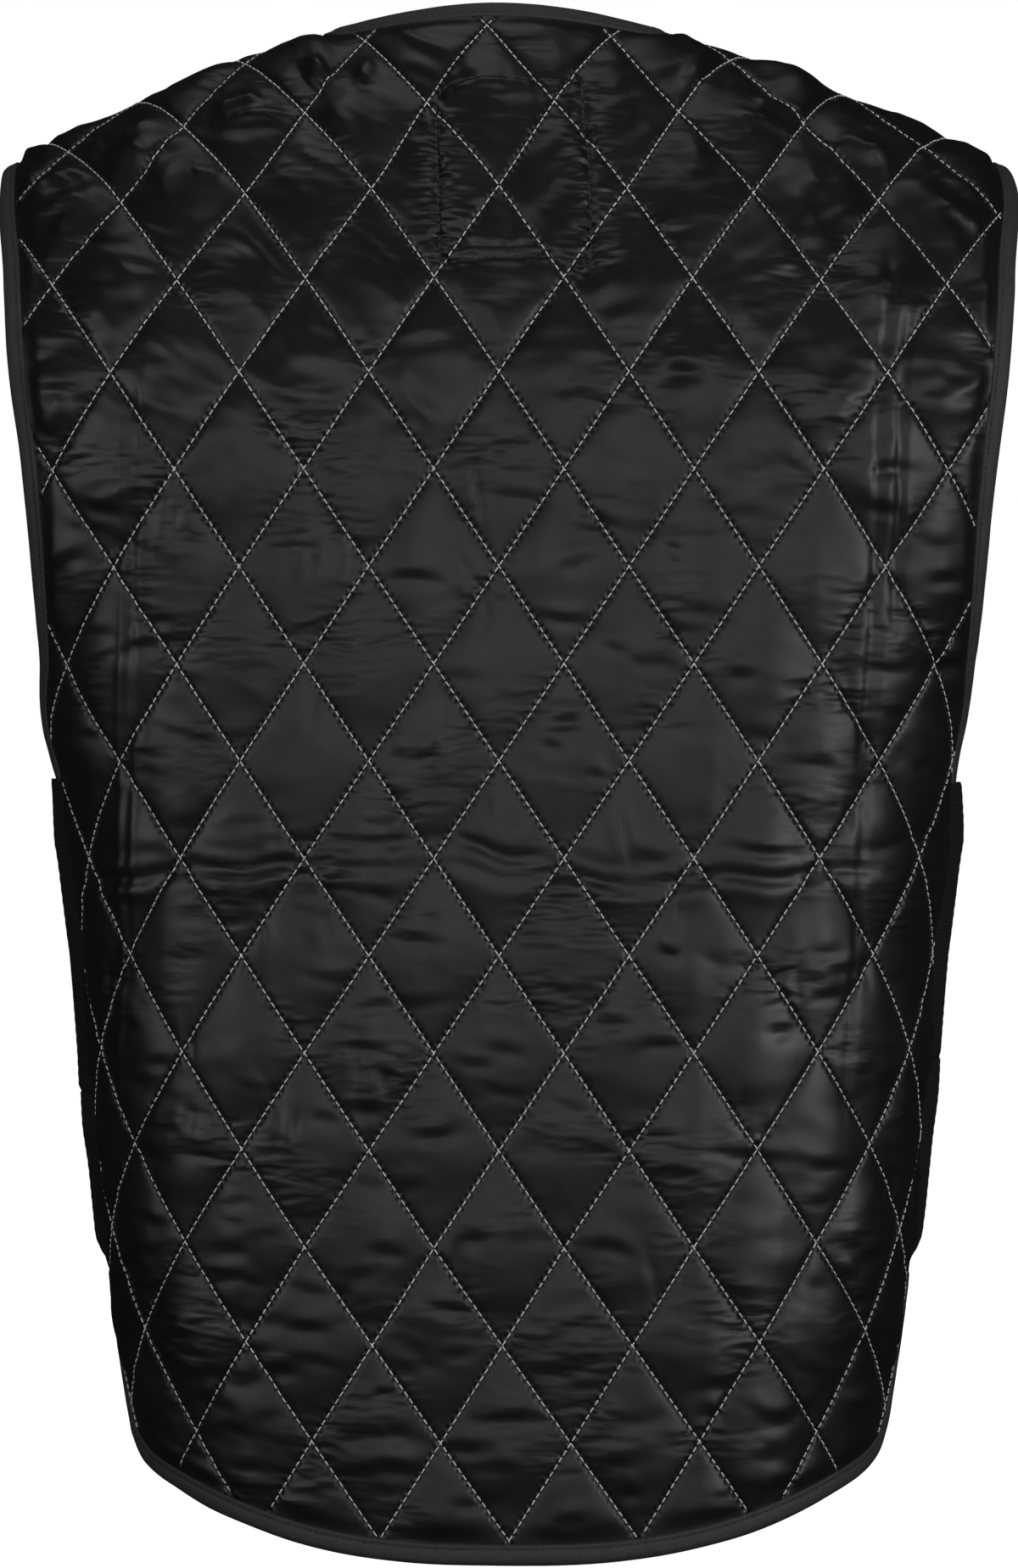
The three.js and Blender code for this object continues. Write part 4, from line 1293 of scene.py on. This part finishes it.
def elastic_material():
    """Ribbed elastic: fine ribs along it, with a herringbone over them, and painted shade that
    darkens the hollows between the ribs.
    """
    material, tree, shader = start_material(
        "ribbed_elastic", grey(0.006), 0.75, Specular_IOR_Level=0.2
    )
    ribs = add_wave(tree, scaled_uv(tree, (560, 560), math.radians(90)))
    normal = add_bump(tree, ribs, 0.00015)
    knit = add_wave(tree, scaled_uv(tree, (900, 900), math.radians(45)), 0.6)
    normal = add_bump(tree, knit, 0.0001, normal)
    tree.links.new(normal, shader.inputs["Normal"])
    # Painted shade: darker colour in the hollows between the ribs, following the ribs' bump.
    colour = add_colour(tree, ribs, grey(0.003), grey(0.006))
    tree.links.new(colour, shader.inputs["Base Color"])
    return material


def moulded_material(name, colour, roughness, metallic):
    """Black moulded or lacquered zip parts with light handling wear."""
    material, tree, shader = start_material(name, colour, roughness, Metallic=metallic)
    source = add_node(tree, "ShaderNodeTexCoord")
    noise = add_node(tree, "ShaderNodeTexNoise", [("Scale", 900.0), ("Detail", 3.0)])
    tree.links.new(source.outputs["Object"], noise.inputs["Vector"])
    wear = noise.outputs["Fac"]
    worn = add_range(tree, wear, roughness - 0.1, roughness + 0.12)
    tree.links.new(worn, shader.inputs["Roughness"])
    tree.links.new(add_bump(tree, wear, 0.00004), shader.inputs["Normal"])
    return material


satin = satin_material()
# The third colour of each thread is painted shade for the grooves between its strands.
pale_thread = thread_material("pale_thread", (0.62, 0.63, 0.63), (0.42, 0.43, 0.43))
dark_thread = thread_material("dark_thread", grey(0.012), grey(0.005))
tape = tape_material()
elastic = elastic_material()
zip_plastic = moulded_material("zip_plastic", grey(0.010), 0.42, 0.0)
zip_metal = moulded_material("zip_metal", grey(0.03), 0.35, 0.8)


# Panels

back_edges = {side: edges_of(back, side) for side in (1, -1)}
front_edges = {side: edges_of(front, side) for side in (1, -1)}


def whole_outline(edges, tuck):
    left = half_outline(edges[1], tuck, 1)
    right = half_outline(edges[-1], tuck, -1)
    return np.concatenate([left, right[::-1]])


def dress(piece, slot_name, *nodes):
    """A finished piece rides on the body and replaces the nodes it stands for; slot_name is not
    used.
    """
    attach(piece, "root")
    if nodes:
        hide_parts(*nodes)
    return piece


def bound_lines(edges):
    return [edges[key] for key in ("neck", "armhole", "hem")]


back_panel = Panel(
    back,
    whole_outline(back_edges, 0),
    whole_outline(back_edges, TUCK),
    bound_lines(back_edges[1]) + bound_lines(back_edges[-1]),
    BACK_SPLITS,
    back_relief,
)
back_cloth = dress(back_panel.mesh("back_quilting", satin), "quilted_satin", "back_panel")
back_threads = quilting_stitches(back_panel, "back_stitches", pale_thread)
patch_starts = np.concatenate([path[:-4:4] for path in patch_paths])
patch_ends = np.concatenate([path[3:-1:4] for path in patch_paths])
patch_threads = laid_stitches(
    "patch_stitches", back_panel, patch_starts, patch_ends, PATCH_THREAD_RADIUS, dark_thread
)
for threads in (back_threads, patch_threads):
    dress(threads, "quilted_satin")
for label, side in SIDES:
    panel = Panel(
        front,
        half_outline(front_edges[side], 0, side),
        half_outline(front_edges[side], TUCK, side),
        bound_lines(front_edges[side]),
        FRONT_SPLITS,
        front_relief,
    )
    cloth = panel.mesh(f"front_quilting_{label}", satin)
    dress(cloth, "quilted_satin", f"front_panel_{label}")
    threads = quilting_stitches(panel, f"front_stitches_{label}", pale_thread)
    dress(threads, "quilted_satin")

# Bindings

binding_paths = {
    "neck_binding": joined_frames(
        edge_frames(front, front_edges[1]["neck"], -1)[:, ::-1],
        edge_frames(back, back_edges[1]["neck"], -1),
        edge_frames(back, back_edges[-1]["neck"], 1)[:, ::-1],
        edge_frames(front, front_edges[-1]["neck"], 1),
    ),
    "hem_binding_back": joined_frames(
        edge_frames(back, back_edges[1]["hem"], 1),
        edge_frames(back, back_edges[-1]["hem"], -1)[:, ::-1],
    ),
}
for label, side in SIDES:
    binding_paths[f"armhole_binding_{label}"] = joined_frames(
        edge_frames(back, back_edges[side]["armhole"], side)[:, ::-1],
        edge_frames(front, front_edges[side]["armhole"], side),
    )
    binding_paths[f"hem_binding_front_{label}"] = joined_frames(
        edge_frames(front, front_edges[side]["hem"], side)
    )
bindings = {}
for number, (name, frames) in enumerate(binding_paths.items()):
    seed = SEED + 200 + 3 * number
    strip = strip_mesh(f"{name}_tape", frames, binding_profile(seed), tape)
    row = edge_stitches(f"{name}_stitches", frames, dark_thread)
    bindings[name] = [dress(strip, "binding_tape", name), dress(row, "binding_tape")]


# Elastic straps


def strap_end(face, side, levels):
    """Points along a side edge at levels of the worn vest, and directions off the edge."""
    low, high = STRAPS[0][2], STRAPS[1][3]
    places = []
    for level in levels:
        share = (level - low) / (high - low)
        across = 1 if face is back else 1 + (FRONT_SIDE_TAPER - 1) * share
        place = side_place(face, across, level)
        places.append((side * place[0], place[1]))
    places = np.array(places)
    points, outward = face.at(*places.T)
    away = unit(points - face.at(*(places - (side, 0)).T)[0])
    return points + away * STRAP_GAP - outward * CLOTH_WALL / 2, away


def strap_mesh(name, side, top, bottom):
    """A band of elastic round the side, bowed out between its ends, with thin sewn edges."""
    rows, columns = STRAP_ROWS, STRAP_COLUMNS
    if "upper" in name:
        top -= STRAP_RISE
    levels = np.linspace(top, bottom, rows + 1)
    start, start_away = strap_end(back, side, levels)
    end, end_away = strap_end(front, side, levels)
    span = np.linalg.norm(end - start, axis=1)[:, None]
    to_bottom = (levels - STRAPS[1][3]) * -BACK_LENGTH
    to_top = (levels - STRAPS[0][2]) * BACK_LENGTH
    drawn_in = np.clip(1 - to_bottom / 14, 0, 1) ** 2 + 0.9 * np.clip(1 - to_top / 26, 0, 1)
    bow = np.stack([side * STRAP_BOW * (1 - 0.7 * drawn_in), 0 * levels, 0 * levels], axis=1)
    controls = [start, start + start_away * span / 3 + bow, end + end_away * span / 3 + bow, end]
    t = np.linspace(0, 1, columns + 1)
    weights = [(1 - t) ** 3, 3 * t * (1 - t) ** 2, 3 * t * t * (1 - t), t**3]
    line = sum(c[:, None] * w[None, :, None] for c, w in zip(controls, weights))
    tangent = np.gradient(line, axis=1)
    x, y = tangent[..., 0], tangent[..., 1]
    outward = unit(np.stack([-side * y, side * x, 0 * x], -1))
    rise = np.linspace(0, (bottom - top) * BACK_LENGTH, rows + 1)[:, None]
    edge = np.minimum(rise, rise[-1] - rise)
    rib = 0.10 * np.sin(2 * math.pi * rise / 5.0)
    half = STRAP_THICKNESS / 2 * (0.45 + 0.55 * np.sqrt(np.clip(edge / 2.0, 0, 1))) + rib
    wave = 0.5 * value_noise(0 * rise + 3 * t, rise / 18 + 0 * t, SEED + 300)
    outer = line + outward * (half + wave)[..., None]
    inner = line + outward * (wave - half)[..., None]
    count = (rows + 1) * (columns + 1)
    index = np.arange(count).reshape(rows + 1, columns + 1)
    skin = quads(index[:-1, :-1], index[:-1, 1:], index[1:, 1:], index[1:, :-1])
    loop = np.concatenate([index[0, :], index[1:, -1], index[-1, -2::-1], index[-2:0:-1, 0]])
    after = np.roll(loop, -1)
    walls = quads(after, loop, loop + count, after + count)
    points = np.concatenate([outer.reshape(-1, 3), inner.reshape(-1, 3)])
    faces = facing_out(points, np.concatenate([skin, skin[:, ::-1] + count, walls]))
    flat = np.stack(np.broadcast_arrays(t * 100 * MM, rise * MM), -1).reshape(-1, 2)
    return make_mesh(name, points, faces, elastic, uv=np.concatenate([flat, flat]))


for name, side, top, bottom in STRAPS:
    band = strap_mesh(f"{name}_band", side, top, bottom)
    dress(band, "ribbed_elastic", name)


# Zip down the front

zip_top = FRONT_NECK_MIDDLE * BACK_LENGTH
zip_bottom = FRONT_HEM_MIDDLE * BACK_LENGTH
zip_levels = np.linspace(zip_top, zip_bottom, 260)
zip_points, zip_out = front.at(0 * zip_levels, zip_levels)
zip_frames = np.stack([zip_points, np.tile([1.0, 0, 0], (len(zip_levels), 1)), zip_out])
ZIP_DEPTH = -CLOTH_WALL / 2


def zip_tape(name, side):
    """One tape of the zip, from under the teeth to the cloth's edge."""
    near = side * (ZIP_TEETH_WIDTH / 2 - ZIP_TAPE_OVERLAP)
    far = side * (ZIP_TEETH_WIDTH / 2 + SEAM_GAP + ZIP_TAPE_WIDTH)
    half = ZIP_TAPE_THICKNESS / 2
    lower = np.array([(near, -0.6 * half), ((near + far) / 2, -half), (far, -0.8 * half)])
    ring = np.concatenate([lower, lower[::-1] * (1, -1)]) + (0, ZIP_DEPTH)
    return strip_mesh(name, zip_frames, lambda arc: np.repeat(ring[None], len(arc), 0), tape)


# Rings of a tooth: place across the zip and size, then its outline as seen along the tooth
TOOTH_RINGS = [(-0.9, 0.72), (0.3, 1.0), (3.0, 0.86)]
TOOTH_OUTLINE = [(-1, -1), (1, -1), (1, 0.6), (0.5, 1), (-0.5, 1), (-1, 0.6)]


def zip_coil(name):
    """Two rows of interlocking teeth, each a small rounded block."""
    arc = arc_of(zip_points)
    places = np.arange(ZIP_PITCH, arc[-1] - ZIP_PITCH, ZIP_PITCH / 2)
    outward = read_along(zip_out, arc, places)
    centre = read_along(zip_points, arc, places) + outward * ZIP_DEPTH
    outward = unit(outward)
    across = np.tile([1.0, 0, 0], (len(places), 1))
    along = np.cross(outward, across)
    side = np.where(np.arange(len(places)) % 2 == 0, 1, -1)
    halves = np.array([ZIP_TOOTH_HALF, ZIP_TEETH_THICKNESS / 2])
    outline = np.array(TOOTH_OUTLINE) * halves
    shape = np.array([(x, *(place * size)) for x, size in TOOTH_RINGS for place in outline])
    points = (
        centre[:, None]
        + across[:, None] * shape[None, :, :1] * side[:, None, None]
        + along[:, None] * shape[None, :, 1:2]
        + outward[:, None] * shape[None, :, 2:]
    )
    faces = prism_faces(len(TOOTH_RINGS), len(TOOTH_OUTLINE))
    offsets = np.arange(len(places))[:, None, None] * len(shape)
    turned = np.where((side > 0)[:, None, None], faces[None], faces[None, :, ::-1])
    faces = (turned + offsets).reshape(-1, 3)
    return make_mesh(name, points.reshape(-1, 3), faces, zip_plastic, smooth=False)


for label, side in SIDES:
    dress(zip_tape(f"zip_tape_{label}_weave", side), "binding_tape", f"zip_tape_{label}")
dress(zip_coil("zip_coil"), "zip_plastic", "zip_teeth")
for node in ("zip_slider", "zip_pull"):
    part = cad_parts[node]
    part.data.materials.clear()
    part.data.materials.append(zip_metal)
    bevel = part.modifiers.new("rounded edges", "BEVEL")
    bevel.width = 0.0006
    bevel.segments = 3
    bevel.limit_method = "ANGLE"


on_back = [back_threads, patch_threads]
for name in ("neck_binding", "armhole_binding_left", "armhole_binding_right", "hem_binding_back"):
    on_back += bindings[name]

# Floor, backdrop, lights and camera

FLOOR_GAP = 0.004
FLOOR_REACH = 17.0
SWEEP_RADIUS = 3.0
WALL_TOP = 18.0
BACKDROP_TURNS = 96


def pale_material():
    material, tree, shader = start_material("pale_paper", (0.06, 0.06, 0.06), 0.9)
    shader.inputs["Emission Color"].default_value = (1, 1, 1, 1)
    shader.inputs["Emission Strength"].default_value = 1.0
    grain = add_node(tree, "ShaderNodeTexNoise", [("Scale", 60.0)])
    rough = add_range(tree, grain.outputs["Fac"], 0.85, 0.95)
    tree.links.new(rough, shader.inputs["Roughness"])
    return material


def backdrop():
    """A round floor that sweeps up into a wall, far out on every side of the vest."""
    floor = cad_low.z - FLOOR_GAP
    profile = [(0.0, floor), (2.0, floor)]
    for angle in np.linspace(0, math.pi / 2, 13):
        reach = FLOOR_REACH + SWEEP_RADIUS * math.sin(angle)
        profile.append((reach, floor + SWEEP_RADIUS * (1 - math.cos(angle))))
    profile.append((FLOOR_REACH + SWEEP_RADIUS, WALL_TOP))
    size = len(profile)
    points, faces = [], []
    for turn in range(BACKDROP_TURNS):
        angle = 2 * math.pi * turn / BACKDROP_TURNS
        for reach, height in profile:
            points.append((reach * math.cos(angle), reach * math.sin(angle), height))
        for k in range(size - 1):
            a = turn * size + k
            b = (turn + 1) % BACKDROP_TURNS * size + k
            faces.append((a, b, b + 1, a + 1))
    mesh = bpy.data.meshes.new("backdrop")
    mesh.from_pydata(points, [], faces)
    mesh.update()
    mesh.polygons.foreach_set("use_smooth", [True] * len(mesh.polygons))
    mesh.materials.append(pale_material())
    made = add_object("backdrop", mesh)
    made.visible_glossy = False
    made.visible_diffuse = False


def soft_light(name, place, aim, width, height, power):
    data = bpy.data.lights.new(name, "AREA")
    data.shape = "RECTANGLE"
    data.size = width
    data.size_y = height
    data.energy = power
    light = add_object(name, data)
    light.location = place
    direction = Vector(aim) - Vector(place)
    light.rotation_euler = direction.to_track_quat("-Z", "Y").to_euler()


# Lights: name, place, point aimed at, width and height in metres, power in watts
LIGHTS = [
    ("back_key", (0.0, 2.2, -0.02), (0, 0, -0.2), 1.9, 0.28, 20),
    ("back_left", (1.65, 1.35, -0.16), (0.1, 0, -0.3), 0.7, 0.4, 14),
    ("back_right", (-1.65, 1.35, -0.16), (-0.1, 0, -0.3), 0.7, 0.4, 26),
    ("front_key", (0, -2.2, -0.3), (0, 0, -0.3), 0.5, 0.5, 22),
    ("top", (0.05, 0.15, 1.5), (0, 0.05, 0), 1.4, 0.25, 8),
]
backdrop()
for row in LIGHTS:
    soft_light(*row)

world = bpy.data.worlds.new("studio")
world.use_nodes = True
sky = world.node_tree.nodes["Background"]
sky.inputs["Color"].default_value = (1, 1, 1, 1)
sky.inputs["Strength"].default_value = 0.015
bpy.context.scene.world = world

camera_data = bpy.data.cameras.new("camera")
camera_data.sensor_width = SENSOR
camera_data.lens = SENSOR * CAMERA_DISTANCE / VIEW_HEIGHT
camera = add_object("camera", camera_data)
camera.location = (0, BACK_REACH * MM + CAMERA_DISTANCE, CAMERA_HEIGHT)
camera.rotation_euler = (math.pi / 2, 0, math.pi)
bpy.context.scene.camera = camera
bpy.context.scene.view_settings.view_transform = "Standard"
